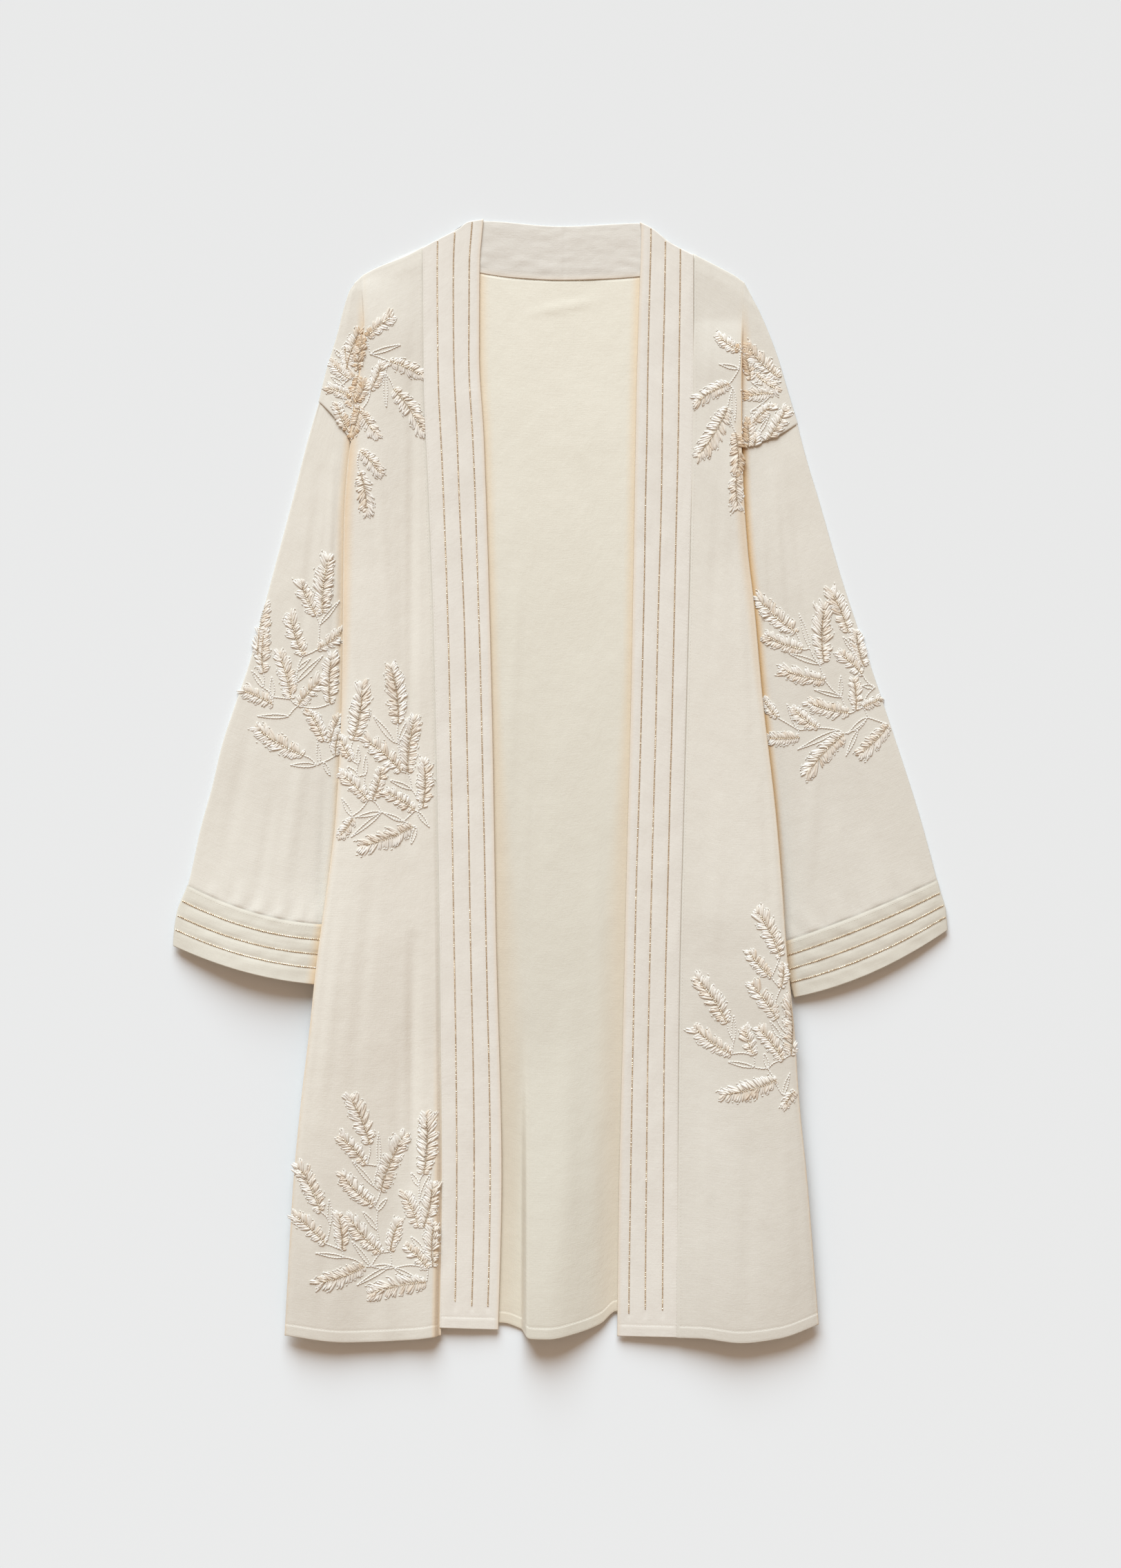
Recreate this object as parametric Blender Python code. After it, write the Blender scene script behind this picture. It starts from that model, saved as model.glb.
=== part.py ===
"""Open-front kaftan laid flat on its back, with flared sleeves, bands, cuffs and embroidered leaf sprays.

Metres, +Z up out of the surface it lies on, +Y from the hem to the neck, -X on the left as seen from above.
Every wall is lofted through sections that are worked out from the tables below, which are in millimetres.
"""
import math

import bmesh
import bpy
from mathutils import Vector
from mathutils.bvhtree import BVHTree

MM = 0.001

# Driving dimensions, in mm
CLOTH = 1.0
DOUBLE_CLOTH = 1.7
SEAM = 0.3
LAYER = 2.2
BAND_LAYER = 2.7
LIFTED_AIR = .17
OVERHANG = 2.0
ARMHOLE_TOP_GAP = 0.8
TUBE_RADIUS = 1.1
CUFF_RADIUS = 1.25
PLEAT_RADIUS = 1.0
LEAF_RIM = 0.6
LEAF_CREST = 1.8
STEM_WIDTH = 3.0
STEM_CREST = 1.1

# Rows of every panel, as shares of the way from the hem to the shoulder line
ROWS = (0, .02, .05, .09, .14, .19, .24, .285, .33, .375, .42, .47, .53, .59, .65, .71, .76,
        .80, .825, .843, .87, .895, .92, .945, .968, .986, 1)
ARMPIT_ROW = 19
TOP_ROW = len(ROWS) - 1
BACK_COLUMNS = (-1, -.97, -.93, -.86, -.78, -.69, -.6, -.45, -.28, -.145, -.115, -.04, .07, .2, .34,
                .48, .6, .69, .78, .86, .93, .97, 1)
FRONT_COLUMNS = (0, .03, .07, .14, .25, .38, .52, .66, .78, .87, .93, .97, 1)
BAND_COLUMNS = (0, .12, .88, 1)
NECK_COLUMNS = tuple(share for share in BACK_COLUMNS if abs(share) < .65)
NECK_ROWS = (0, .5, 1)
DROP_STEPS = 5
TUBE_STEPS = 8
SLEEVE_ROWS = (0, .04, .09, .15, .24, .34, .45, .56, .66, .74, .81, .85, 1)
CUFF_ROWS = (0, .5, 1)

# Outlines of the two sides, in mm. A row is a height up the garment and a distance from its middle,
# but for shoulder (distance, height), hem and band_hem (share across, height), bow (share down the
# sleeve, how far the section bends up), tuck (share down the sleeve, how far in it lies under the
# body's edge) and carry (height, how far the back is lifted over the tucked sleeve). The spans of the
# sleeve are the heights of its two ends.
LEFT = {
    "sign": -1,
    "opening": ((-518, 58.5), (-373, 55.3), (-151, 60.5), (70, 64.5), (321, 72), (402, 76.5), (484, 76),
                (528, 72.5)),
    "seam": ((-514, 114), (-370, 112), (-240, 113), (-110, 114.5), (20, 117), (150, 120), (280, 125),
             (370, 129), (505, 130)),
    "edge": ((-528, 258.5), (-474, 255.5), (-377, 249.5), (-299, 242), (-240, 235), (-169, 227.5),
             (-104, 218.5), (-32, 210), (85, 204.5), (240, 203), (331, 196), (432, 184), (475, 186)),
    "shoulder": ((72, 528.5), (87, 526), (95, 520), (120, 507), (144, 494), (175, 481), (186, 475)),
    "drop": ((355, 227.5), (384, 220.4), (422, 209), (442, 204), (461, 198), (468, 193.5)),
    "sleeve": ((-157, 364), (-143, 363.2), (-124, 360.3), (-98, 350.5), (-45, 338.7), (-6, 328),
               (32, 319), (72, 306), (110, 293), (188, 272.4), (266, 251.6), (325, 236.5), (355, 227.5)),
    "hem": ((0, -523), (.2, -526.5), (.6, -528.5), (1, -522)),
    "band_hem": ((0, -518), (1, -516)),
    "outer_span": (355.6, -156.5),
    "inner_span": (318.5, -193.5),
    "bow": ((0, 3.2), (.3, -2), (.6, -6), (.888, -9), (1, -7)),
    "tuck": ((0, -2.5), (.03, -.6), (.08, 0), (.2, 11), (1, 12)),
    "carry": ((-345, 0), (-295, 3), (-250, 10), (-205, 16.2), (-165, 14.2), (-130, 11.4), (-90, 7.4),
              (-40, 5), (60, 4.5), (272, 4.5), (303, 0)),
}
RIGHT = {
    "sign": 1,
    "opening": ((-524, 53.3), (-373, 55.3), (-225, 59), (-77, 62.4), (70, 66.3), (218, 69), (365, 71.5),
                (450, 74), (520, 76), (526, 74.5)),
    "seam": ((-514, 110.5), (-305, 111), (-175, 112.5), (-45, 115.7), (84, 119), (214, 122.2),
             (370, 125.5), (500, 125.5)),
    "edge": ((-528, 243), (-474, 238.6), (-377, 230.8), (-299, 223), (-240, 219), (-156, 211),
             (-103, 207.4), (-32, 201.5), (78, 189), (169, 180.7), (214, 175.5), (280, 171),
             (345, 169.7), (410, 169.7), (468, 173)),
    "shoulder": ((74, 526), (85, 520), (102, 507), (127, 494), (152, 481), (164, 474.5), (173, 468)),
    "drop": ((334, 223), (364, 214), (403, 202.2), (442, 186.6), (455, 180)),
    "sleeve": ((-143, 364.1), (-124, 362.5), (-104, 356.9), (-84, 351.7), (-45, 341.3), (-6, 329.6),
               (32, 317.2), (110, 291.2), (188, 265.2), (266, 242.5), (305, 230.8), (335, 223)),
    "hem": ((0, -524.5), (.15, -524.5), (.45, -528.5), (.72, -524.5), (1, -512)),
    "band_hem": ((0, -524), (1, -524.5)),
    "outer_span": (334.8, -142),
    "inner_span": (313.5, -205),
    "bow": ((0, -4), (.45, -3), (.9, -2.6), (1, -8.5)),
    "tuck": ((0, -2.5), (.03, -.6), (.08, 0), (.2, 9), (.84, 9), (.9, 2), (1, -6)),
    "carry": ((-325, 0), (-283, 2), (-235, 7.5), (-190, 12.5), (-160, 13), (-130, 11.4), (-90, 7.4),
              (-40, 5), (60, 4.5), (272, 4.5), (303, 0)),
}
# The neck seam and the top of the neck band: a place across and a height
NECK_SEAM = ((-186, 475), (-118, 503), (-98, 490), (-76, 478), (-40, 473), (0, 471), (40, 472),
             (75, 474.5), (98, 486), (112, 497), (173, 468))
NECK_TOP = ((-115, 508), (-95, 518), (-87, 524), (-72, 527), (0, 522), (74, 525), (85, 518), (108, 501))
# The back's hem: a place across and a height
BACK_HEM = ((-258, -516), (-100, -512), (-56, -511.5), (-37, -517.5), (-28, -524), (-12, -524.5),
            (16, -519.5), (38, -512), (53, -500.5), (85, -502), (130, -512), (243, -507))

# Waves along the hem, which fade up the garment: place across, half width, lift and reach
HEM_WAVES = ((-190, 62, 9, 190), (172, 60, 9, 190), (-86, 34, 2.5, 120), (84, 36, 2.5, 120))
FRONT_WAVES = ((-180, 48, 4, 260), (165, 52, 4.5, 240), (-150, 22, 1.6, 620), (148, 18, 1.5, 560))
BACK_FOLD = {"place": -37, "rise": 6, "crest": -14, "fade": 72, "lift": 11, "reach": 290}
# The roll beside the left band: a height up the garment and the roll's height
ROLL = ((-528, 9), (-430, 8), (-240, 5.5), (0, 3), (180, 1.5), (310, 0))
ROLL_SIDE = 4
ROLL_FADE = 36
# Lift of the sleeves towards the cuff: share down the sleeve, outer edge, middle and inner edge
SLEEVE_LIFT = ((.5, 0, 0, 0), (.7, .2, 1.2, .2), (.8, .9, 3.4, 1.5), (.888, 2, 7, 4.6), (1, 4.5, 14, 9))
SLEEVE_FULLNESS = 1.5
# The pleat at the shoulder: share of the way from the armpit to the shoulder, turn in degrees and depth
PLEAT_TURN = ((0, 180), (.5, 180), (.66, 130), (.8, 85), (.91, 45), (1, 0))
PLEAT_DEPTH = ((0, 10), (.33, 6), (.5, 1.5), (.62, 0))

# Leaf sprays: the panel each lies on, then its leaves, each as where it starts and where its tip lies (x, y)
SPRAYS = {
    "spray_shoulder_left": ("front_left", (
        (-179, 416, -158, 436), (-177, 367, -169, 391), (-161, 394, -134, 381), (-157, 368, -134, 330),
        (-181, 340, -171, 325), (-188, 313, -170, 288), (-186, 289, -182, 252))),
    "spray_drop_left": ("front_left", (
        (-204, 390, -198, 415), (-200, 378, -214, 392), (-200, 362, -217, 369))),
    "spray_sleeve_left": ("sleeve_left", (
        (-224, 157, -219, 207), (-230, 155, -243, 186), (-242, 117, -254, 155), (-254, 76, -265, 118),
        (-280, 101, -279, 138), (-269, 72, -299, 83), (-242, 23, -286, 49), (-229, 123, -210, 139),
        (-219, 72, -218, 114), (-247, 70, -226, 94), (-224, 37, -237, 64))),
    "spray_hip_left": ("front_left", (
        (-153, 53, -160, 106), (-193, 37, -186, 89), (-150, 8, -183, 37), (-144, 7, -138, 55),
        (-132, -24, -131, 16), (-139, -29, -166, -14), (-181, -19, -203, 3), (-176, -19, -169, 10),
        (-141, -45, -187, -62))),
    "spray_hem_left": ("front_left", (
        (-179, -343, -198, -298), (-183, -361, -207, -335), (-169, -386, -147, -335),
        (-131, -371, -129, -315), (-175, -400, -204, -371), (-225, -405, -243, -363),
        (-221, -435, -246, -409), (-205, -441, -209, -408), (-169, -444, -198, -411),
        (-160, -443, -152, -416), (-137, -419, -147, -390), (-129, -421, -126, -381),
        (-128, -457, -146, -438), (-184, -457, -228, -472), (-132, -472, -180, -484))),
    "spray_shoulder_right": ("front_right", (
        (165, 400, 149, 418), (160, 372, 133, 356), (158, 350, 133, 308))),
    "spray_drop_right": ("front_right", (
        (203, 379, 179, 406), (199, 362, 180, 361), (191, 322, 209, 350))),
    "spray_sleeve_right": ("sleeve_right", (
        (222, 139, 188, 170), (228, 123, 195, 135), (248, 111, 249, 164), (284, 100, 262, 119),
        (276, 103, 270, 136), (249, 94, 211, 104), (278, 66, 276, 94), (272, 63, 234, 73),
        (242, 49, 220, 67), (226, 41, 199, 40), (267, 43, 233, 6), (308, 50, 281, 24))),
    "spray_front_right": ("front_right", (
        (203, -166, 185, -124), (198, -185, 178, -162), (201, -225, 179, -192), (157, -229, 128, -187),
        (161, -258, 126, -233), (182, -259, 174, -233), (206, -262, 186, -234), (203, -282, 153, -296))),
}
# Cross-sections of a leaf and of a stem: share of the length and share of the half width
LEAF_FORM = ((0, .4), (.3, .95), (.68, 1), (1, .3))
STEM_FORM = ((0, 1), (.5, 1), (1, 1))
# A leaf's half width is LEAF_BREADTH and this share of its length
LEAF_BREADTH = 2.6
LEAF_SLIMNESS = .11
# Leaves that overlap start this much one above the other, in turn
LEAF_STEP = 0.14
LEAF_TURNS = 5
SETTLING_PASSES = 4


def clamp(share):
    return min(1.0, max(0.0, share))


def ease(share):
    """A soft step from 0 to 1."""
    share = clamp(share)
    return share * share * (3 - 2 * share)


def read(rows, place, column=1):
    """The value at a place on a smooth curve through rows, which never overshoots them."""
    if place <= rows[0][0]:
        return rows[0][column]
    if place >= rows[-1][0]:
        return rows[-1][column]
    k = next(i for i in range(len(rows) - 1) if place <= rows[i + 1][0])

    def slope(i):
        return (rows[i + 1][column] - rows[i][column]) / (rows[i + 1][0] - rows[i][0])

    def tangent(i):
        if i == 0 or i == len(rows) - 1:
            return slope(min(i, len(rows) - 2))
        before, after = slope(i - 1), slope(i)
        return 0.0 if before * after <= 0 else 2 * before * after / (before + after)

    span = rows[k + 1][0] - rows[k][0]
    t = (place - rows[k][0]) / span
    bend = t * t * (3 - 2 * t)
    value = rows[k][column] * (1 - bend) + rows[k + 1][column] * bend
    value += span * (t * (1 - t) ** 2 * tangent(k) - t * t * (1 - t) * tangent(k + 1))
    return value


def side_of(x):
    return LEFT if x < 0 else RIGHT


def hem_fade(y, reach):
    """1 at the hem, 0 at reach above it."""
    return 1 - ease((y - BACK_HEM[4][1]) / reach)


def waves(table, x, y):
    """The height of the hem waves of a table at a place."""
    total = 0.0
    for place, half, lift, reach in table:
        total += lift * (1 - ease(abs(x - place) / (2 * half))) * hem_fade(y, reach)
    return total


def back_fold(x, y):
    """The fold that stands up at the hem between the bands, steep on its left."""
    rise = ease((x - BACK_FOLD["place"]) / BACK_FOLD["rise"])
    fall = 1 - ease((x - BACK_FOLD["crest"]) / BACK_FOLD["fade"])
    return BACK_FOLD["lift"] * rise * fall * hem_fade(y, BACK_FOLD["reach"])


def tuck_at(side, y):
    """How far the sleeve's inner fold lies in under the back's side edge."""
    top, bottom = side["inner_span"]
    return read(side["tuck"], (top - y) / (top - bottom))


def back_height(x, y):
    """The middle of the back's wall above the floor."""
    side = side_of(x)
    lift = read(side["carry"], y)
    inside = read(side["edge"], y) - OVERHANG - abs(x)
    flat = max(0.0, tuck_at(side, y)) + 4
    carried = lift * (1 - ease((inside - flat) / (16 + 2.6 * lift)))
    return CLOTH / 2 + carried + waves(HEM_WAVES, x, y) + back_fold(x, y)


def fold_steps(turn, depth):
    """Runs and falls of a sheet that turns down and back under itself, then out again."""
    length = PLEAT_RADIUS * math.pi / 3 * (.35 + .65 * turn / math.pi)
    arc = [(length, turn * k / 6) for k in (1, 3, 5)]
    steps = arc + [(depth + length / 2, turn)] + arc[::-1]
    run, fall = 0.0, 0.0
    places = []
    for length, heading in steps:
        run += length * math.cos(heading)
        fall += length * math.sin(heading)
        places.append((run, fall))
    return places


def pleat_share(side, y):
    """0 at the armpit, 1 at the shoulder."""
    armpit = side["inner_span"][0]
    return clamp((y - armpit) / (side["edge"][-1][0] - armpit))


def pleat_fall(side, y):
    """How far the pleat drops from the front to the cloth below it."""
    armpit = side["inner_span"][0]
    if y < armpit:
        height = fold_steps(math.pi, 0)[-1][1]
        return height * (1 - ease((armpit - 12 - y) / 34)) + .4 * ease((armpit - y) / 40)
    turn = math.radians(read(PLEAT_TURN, pleat_share(side, y)))
    return fold_steps(turn, 0)[-1][1]


def front_height(side, x, y):
    """The middle of a front's wall above the floor."""
    edge = read(side["edge"], y)
    inside = edge - abs(x)
    under = back_height(x, y)
    height = under + LAYER + LIFTED_AIR * (under - CLOTH / 2)
    height += pleat_fall(side, y) * (1 - ease((inside - 15) / 55))
    below = ease((side["inner_span"][0] - y) / 24)
    height -= .9 * below * (1 - ease(inside / 5))
    if side is LEFT:
        out = abs(x) - read(side["seam"], y)
        height += read(ROLL, y) * ease(out / ROLL_SIDE) * (1 - ease((out - ROLL_SIDE) / ROLL_FADE))
    return height + waves(FRONT_WAVES, x, y)


def across(points, thickness, closed=False):
    """The two faces of a wall round a section's middle line, as pairs of points in metres."""
    heading = points[-1] - points[0] if not closed else points[len(points) // 2] - points[0]
    heading.z = 0
    heading.normalize()
    pairs = []
    last = len(points) - 1
    for i, point in enumerate(points):
        if closed:
            run = points[(i + 1) % len(points)] - points[i - 1]
        else:
            run = points[min(i + 1, last)] - points[max(i - 1, 0)]
        normal = Vector((0, 0, run.dot(heading))) - heading * run.z
        if not closed and i in (0, last):
            normal = Vector((0, 0, 1))
        normal = normal.normalized() * thickness / 2
        pairs.append(((point + normal) * MM, (point - normal) * MM))
    return pairs


def front_plan(side, share, row):
    """Where a front's grid point lies: x outward from the seam, y up from the hem."""
    line = ROWS[row]
    top_x = side["seam"][-1][1] * (1 - share) + side["edge"][-1][1] * share
    top = read(side["shoulder"], top_x)
    hem = read(side["hem"], share)
    y = hem + (top - hem) * line
    seam = read(side["seam"], y) + SEAM / 2
    x = seam + (read(side["edge"], y) - seam) * share
    return x * side["sign"], y


def front_section(side, row):
    points = []
    for share in FRONT_COLUMNS:
        x, y = front_plan(side, share, row)
        height = front_height(side, x, y)
        if row == TOP_ROW:
            height = max(CLOTH * 1.5 + SEAM, height - .9)
        points.append(Vector((x, y, height)))
    return points


def drop_end(side, row):
    """Where a row of the shoulder drop meets the arm's outline."""
    share = (ROWS[row] - ROWS[ARMPIT_ROW]) / (1 - ROWS[ARMPIT_ROW])
    low, high = side["outer_span"][0], side["drop"][-1][0]
    y = low + (high - low) * share
    return read(side["drop"], y) * side["sign"], y, share


def bowed(side, share, along):
    """How far a row of the drop bends up, to run into the armhole seam at the lowest row."""
    return side["bow"][0][1] * (1 - share) * 4 * along * (1 - along)


def drop_section(side, row):
    """From the pleat's edge down, back under the front and out again to the arm's outline."""
    start = front_section(side, row)[-1]
    x_end, y_end, share = drop_end(side, row)
    way = Vector((x_end - start.x, y_end - start.y, 0))
    width = way.length
    way.normalize()
    rise = pleat_share(side, start.y)
    turn = math.radians(read(PLEAT_TURN, rise))
    places = fold_steps(turn, read(PLEAT_DEPTH, rise))
    points = [start]
    points += [start + way * run - Vector((0, 0, fall)) for run, fall in places]
    run_in, fall_in = places[-1]
    for k in range(1, DROP_STEPS + 1):
        along = k / DROP_STEPS
        run = run_in + (width - run_in) * along
        point = start + way * run - Vector((0, 0, fall_in))
        point.y += bowed(side, share, clamp(run / width))
        if k == DROP_STEPS:
            point.z = min(point.z, CLOTH * 1.5 + SEAM)
        points.append(point)
    return points


def back_plan(share, row):
    side = LEFT if share < 0 else RIGHT
    reach = side["edge"][-1][1] - OVERHANG
    top = read(NECK_SEAM, share * reach)
    hem_reach = side["edge"][0][1] - OVERHANG
    hem = read(BACK_HEM, share * hem_reach)
    y = hem + (top - hem) * ROWS[row]
    return share * (read(side["edge"], y) - OVERHANG), y


def back_section(row):
    points = []
    for share in BACK_COLUMNS:
        x, y = back_plan(share, row)
        points.append(Vector((x, y, back_height(x, y))))
    return points


def back_drop_section(side, row):
    """The back's shoulder drop, flat on the floor under the front's."""
    start = back_section(row)[0 if side is LEFT else -1]
    x_end, y_end, share = drop_end(side, row)
    end = Vector((x_end - side["sign"] * .8, y_end - .5, start.z))
    points = []
    for k in range(DROP_STEPS + 1):
        along = k / DROP_STEPS
        point = start.lerp(end, along)
        point.y += bowed(side, share, along)
        points.append(point)
    return points


def band_section(side, row):
    points = []
    for share in BAND_COLUMNS:
        top_x = side["opening"][-1][1] * (1 - share) + side["seam"][-1][1] * share
        top = read(side["shoulder"], top_x)
        hem = read(side["band_hem"], share)
        y = hem + (top - hem) * ROWS[row]
        inner = read(side["opening"], y)
        outer = read(side["seam"], y) - SEAM / 2
        x = (inner + (outer - inner) * share) * side["sign"]
        points.append(Vector((x, y, back_height(x, y) + BAND_LAYER)))
    return points


def neck_section(row):
    points = []
    for share in NECK_COLUMNS:
        x = share * ((LEFT if share < 0 else RIGHT)["edge"][-1][1] - OVERHANG)
        low = read(NECK_SEAM, x) + 2 * SEAM
        y = low + (read(NECK_TOP, x) - low) * NECK_ROWS[row]
        points.append(Vector((x, y, DOUBLE_CLOTH / 2)))
    return points


def sleeve_plan(side, down, along):
    """Where the sleeve lies: down is the share from armhole to cuff edge, along from outer to inner."""
    y_outer = side["outer_span"][0] + (side["outer_span"][1] - side["outer_span"][0]) * down
    y_inner = side["inner_span"][0] + (side["inner_span"][1] - side["inner_span"][0]) * down
    x_outer = read(side["sleeve"], y_outer)
    x_inner = read(side["edge"], y_inner) - OVERHANG + 2 * SEAM - read(side["tuck"], down)
    y = y_outer + (y_inner - y_outer) * along + read(side["bow"], down) * 4 * along * (1 - along)
    return (x_outer + (x_inner - x_outer) * along) * side["sign"], y


def sleeve_lift(down, along):
    outer, middle, inner = (read(SLEEVE_LIFT, down, column) for column in (1, 2, 3))
    return outer * (1 - along) * (1 - 2 * along) + middle * 4 * along * (1 - along) \
        + inner * along * (2 * along - 1)


def tube_section(side, down, radius, wall):
    """One ring of a sleeve or cuff: the lower layer, the outer fold, the upper layer, the inner fold."""
    ends = [Vector((*sleeve_plan(side, down, along), 0)) for along in (0, 1)]
    width = (ends[1] - ends[0]).length
    inset = radius / width
    shares = [inset + (1 - 2 * inset) * k / TUBE_STEPS for k in range(TUBE_STEPS + 1)]
    fullness = SLEEVE_FULLNESS * ease(down / .15)
    lower, upper = [], []
    for along in shares:
        x, y = sleeve_plan(side, down, along)
        base = wall / 2 + sleeve_lift(down, along)
        full = fullness * math.sin(math.pi * along) ** 1.3
        lower.append(Vector((x, y, base)))
        upper.append(Vector((x, y, base + 2 * radius + full)))
    outward = (ends[0] - ends[1]).normalized()

    def turn(low, high, way):
        centre = (low + high) / 2
        return [centre + way * radius * .87 + Vector((0, 0, radius * rise)) for rise in (-.5, .5)]

    outer_fold = turn(lower[0], lower[0] + Vector((0, 0, 2 * radius)), outward)
    inner_fold = turn(lower[-1], lower[-1] + Vector((0, 0, 2 * radius)), -outward)
    return lower[::-1] + outer_fold + upper + inner_fold[::-1]


def material(name, colour, roughness, metallic=0.0):
    made = bpy.data.materials.new(name)
    made.use_nodes = True
    shader = made.node_tree.nodes["Principled BSDF"]
    shader.inputs["Base Color"].default_value = (*colour, 1)
    shader.inputs["Roughness"].default_value = roughness
    shader.inputs["Metallic"].default_value = metallic
    return made


def finished(name, bm, finish):
    """Turns a shape into a named object with its faces pointing out."""
    bmesh.ops.recalc_face_normals(bm, faces=bm.faces)
    mesh = bpy.data.meshes.new(name)
    bm.to_mesh(mesh)
    bm.free()
    mesh.shade_smooth()
    mesh.materials.append(finish)
    made = bpy.data.objects.new(name, mesh)
    bpy.context.scene.collection.objects.link(made)
    return made


def thicken(bm, other):
    """Closes an open surface into a wall: each new point goes to the place its layer holds."""
    copied = bmesh.ops.extrude_face_region(bm, geom=bm.faces[:], use_keep_orig=True)
    for vert in copied["geom"]:
        if isinstance(vert, bmesh.types.BMVert):
            vert.co = vert[other]


def cloth(name, patches, finish):
    """A cloth wall lofted through sections. A patch is a list of sections of face pairs."""
    bm = bmesh.new()
    other = bm.verts.layers.float_vector.new("other face")
    for sections in patches:
        rows, columns = len(sections) - 1, len(sections[0]) - 1
        grid = bmesh.ops.create_grid(bm, x_segments=columns, y_segments=rows, size=.5)
        for vert in grid["verts"]:
            i = round((vert.co.x + .5) * columns)
            j = round((vert.co.y + .5) * rows)
            vert.co, vert[other] = sections[j][i]
    bmesh.ops.remove_doubles(bm, verts=bm.verts, dist=.001 * MM)
    thicken(bm, other)
    return finished(name, bm, finish)


def make_front(side, name, finish):
    main = [across(front_section(side, row), CLOTH) for row in range(TOP_ROW + 1)]
    drop = [across(drop_section(side, row), CLOTH) for row in range(ARMPIT_ROW, TOP_ROW + 1)]
    return cloth(name, [main, drop], finish)


def make_back(finish):
    main = [across(back_section(row), CLOTH) for row in range(TOP_ROW + 1)]
    drops = [[across(back_drop_section(side, row), CLOTH) for row in range(ARMPIT_ROW, TOP_ROW + 1)]
             for side in (LEFT, RIGHT)]
    return cloth("back", [main] + drops, finish)


def make_tube(side, name, shares, radius, wall, finish):
    """A sleeve or a cuff, open at both ends; its first and last columns are one."""
    rings = []
    for down in shares:
        ring = across(tube_section(side, down, radius, wall), wall, closed=True)
        rings.append(ring + ring[:1])
    return cloth(name, [rings], finish)


def make_sleeve(side, name, finish):
    span = side["outer_span"][0] - side["outer_span"][1]
    start = ARMHOLE_TOP_GAP / span
    cuff = cuff_share(side) - SEAM / 2 / span
    shares = [start + (cuff - start) * share for share in SLEEVE_ROWS]
    return make_tube(side, name, shares, TUBE_RADIUS, CLOTH, finish)


def cuff_share(side):
    """How far down the sleeve the cuff's seam lies."""
    return .888 if side is LEFT else .9


def make_cuff(side, name, finish):
    span = side["outer_span"][0] - side["outer_span"][1]
    start = cuff_share(side) + SEAM / 2 / span
    shares = [start + (1 - start) * share for share in CUFF_ROWS]
    return make_tube(side, name, shares, CUFF_RADIUS, DOUBLE_CLOTH, finish)


def strip_plan(bm, start, end, half, form):
    """A leaf or a stem in plan, three points across; the height is the share of its crest."""
    way = end - start
    sideways = Vector((-way.y, way.x)).normalized() * half
    rows = []
    for share, breadth in form:
        centre = start + way * share
        spots = (centre + sideways * breadth, centre, centre - sideways * breadth)
        rows.append([bm.verts.new((*spot, crest)) for spot, crest in zip(spots, (0, 1, 0))])
    for low, high in zip(rows, rows[1:]):
        for k in (0, 1):
            bm.faces.new((low[k], low[k + 1], high[k + 1], high[k]))


def laid_strip(tree, start, end, half, form, crest, clearance):
    """A leaf or a stem dropped onto a panel's upper face, then thickened."""
    bm = bmesh.new()
    other = bm.verts.layers.float_vector.new("other face")
    strip_plan(bm, start, end, half, form)
    crests = {vert: vert.co.z for vert in bm.verts}

    def lowest(x, y):
        return tree.ray_cast(Vector((x, y, 1)), Vector((0, 0, -1)))[0].z + clearance * MM

    for vert in bm.verts:
        vert.co.x *= MM
        vert.co.y *= MM
        vert.co.z = lowest(vert.co.x, vert.co.y)
    for _ in range(SETTLING_PASSES):
        for shape in bm.edges[:] + bm.faces[:]:
            middle = sum((vert.co for vert in shape.verts), Vector()) / len(shape.verts)
            spots = [middle] + [middle.lerp(vert.co, .5) for vert in shape.verts]
            short = max(lowest(spot.x, spot.y) - spot.z for spot in spots)
            if short > 0:
                for vert in shape.verts:
                    vert.co.z += short
    for vert in bm.verts:
        vert[other] = vert.co
        vert.co.z += (LEAF_RIM + (crest - LEAF_RIM) * crests[vert]) * MM
    thicken(bm, other)
    return bm


def stem_links(leaves):
    """The shortest stems that join the starts of all the leaves, each to one that is joined already."""
    starts = [Vector(leaf[:2]) for leaf in leaves]
    joined, links = [starts[0]], []
    waiting = starts[1:]
    while waiting:
        pairs = [(a, b) for a in joined for b in waiting]
        start, end = min(pairs, key=lambda pair: (pair[1] - pair[0]).length)
        links.append((start, end))
        joined.append(end)
        waiting.remove(end)
    return links


def make_spray(name, panels, finish):
    """A spray of overlapping leaves and the stems that join them, as one solid."""
    panel, leaves = SPRAYS[name]
    tree = BVHTree.FromObject(panels[panel], bpy.context.evaluated_depsgraph_get())
    strips = [(Vector(leaf[:2]), Vector(leaf[2:]), LEAF_FORM, LEAF_CREST) for leaf in leaves]
    strips += [(start, end, STEM_FORM, STEM_CREST) for start, end in stem_links(leaves)]
    parts = []
    for k, (start, end, form, crest) in enumerate(strips):
        length = (end - start).length
        half = STEM_WIDTH / 2 if form is STEM_FORM else LEAF_BREADTH + LEAF_SLIMNESS * length
        clearance = SEAM + LEAF_STEP * (k % LEAF_TURNS)
        strip = laid_strip(tree, start, end, half, form, crest, clearance)
        parts.append(finished("%s part %d" % (name, k), strip, finish))
    group = bpy.data.collections.new(name)
    for part in parts[1:]:
        group.objects.link(part)
        part.hide_render = True
        part.display_type = "WIRE"
    spray = parts[0]
    spray.name = name
    join = spray.modifiers.new("join", "BOOLEAN")
    join.operation = "UNION"
    join.solver = "EXACT"
    join.operand_type = "COLLECTION"
    join.collection = group
    return spray


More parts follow.
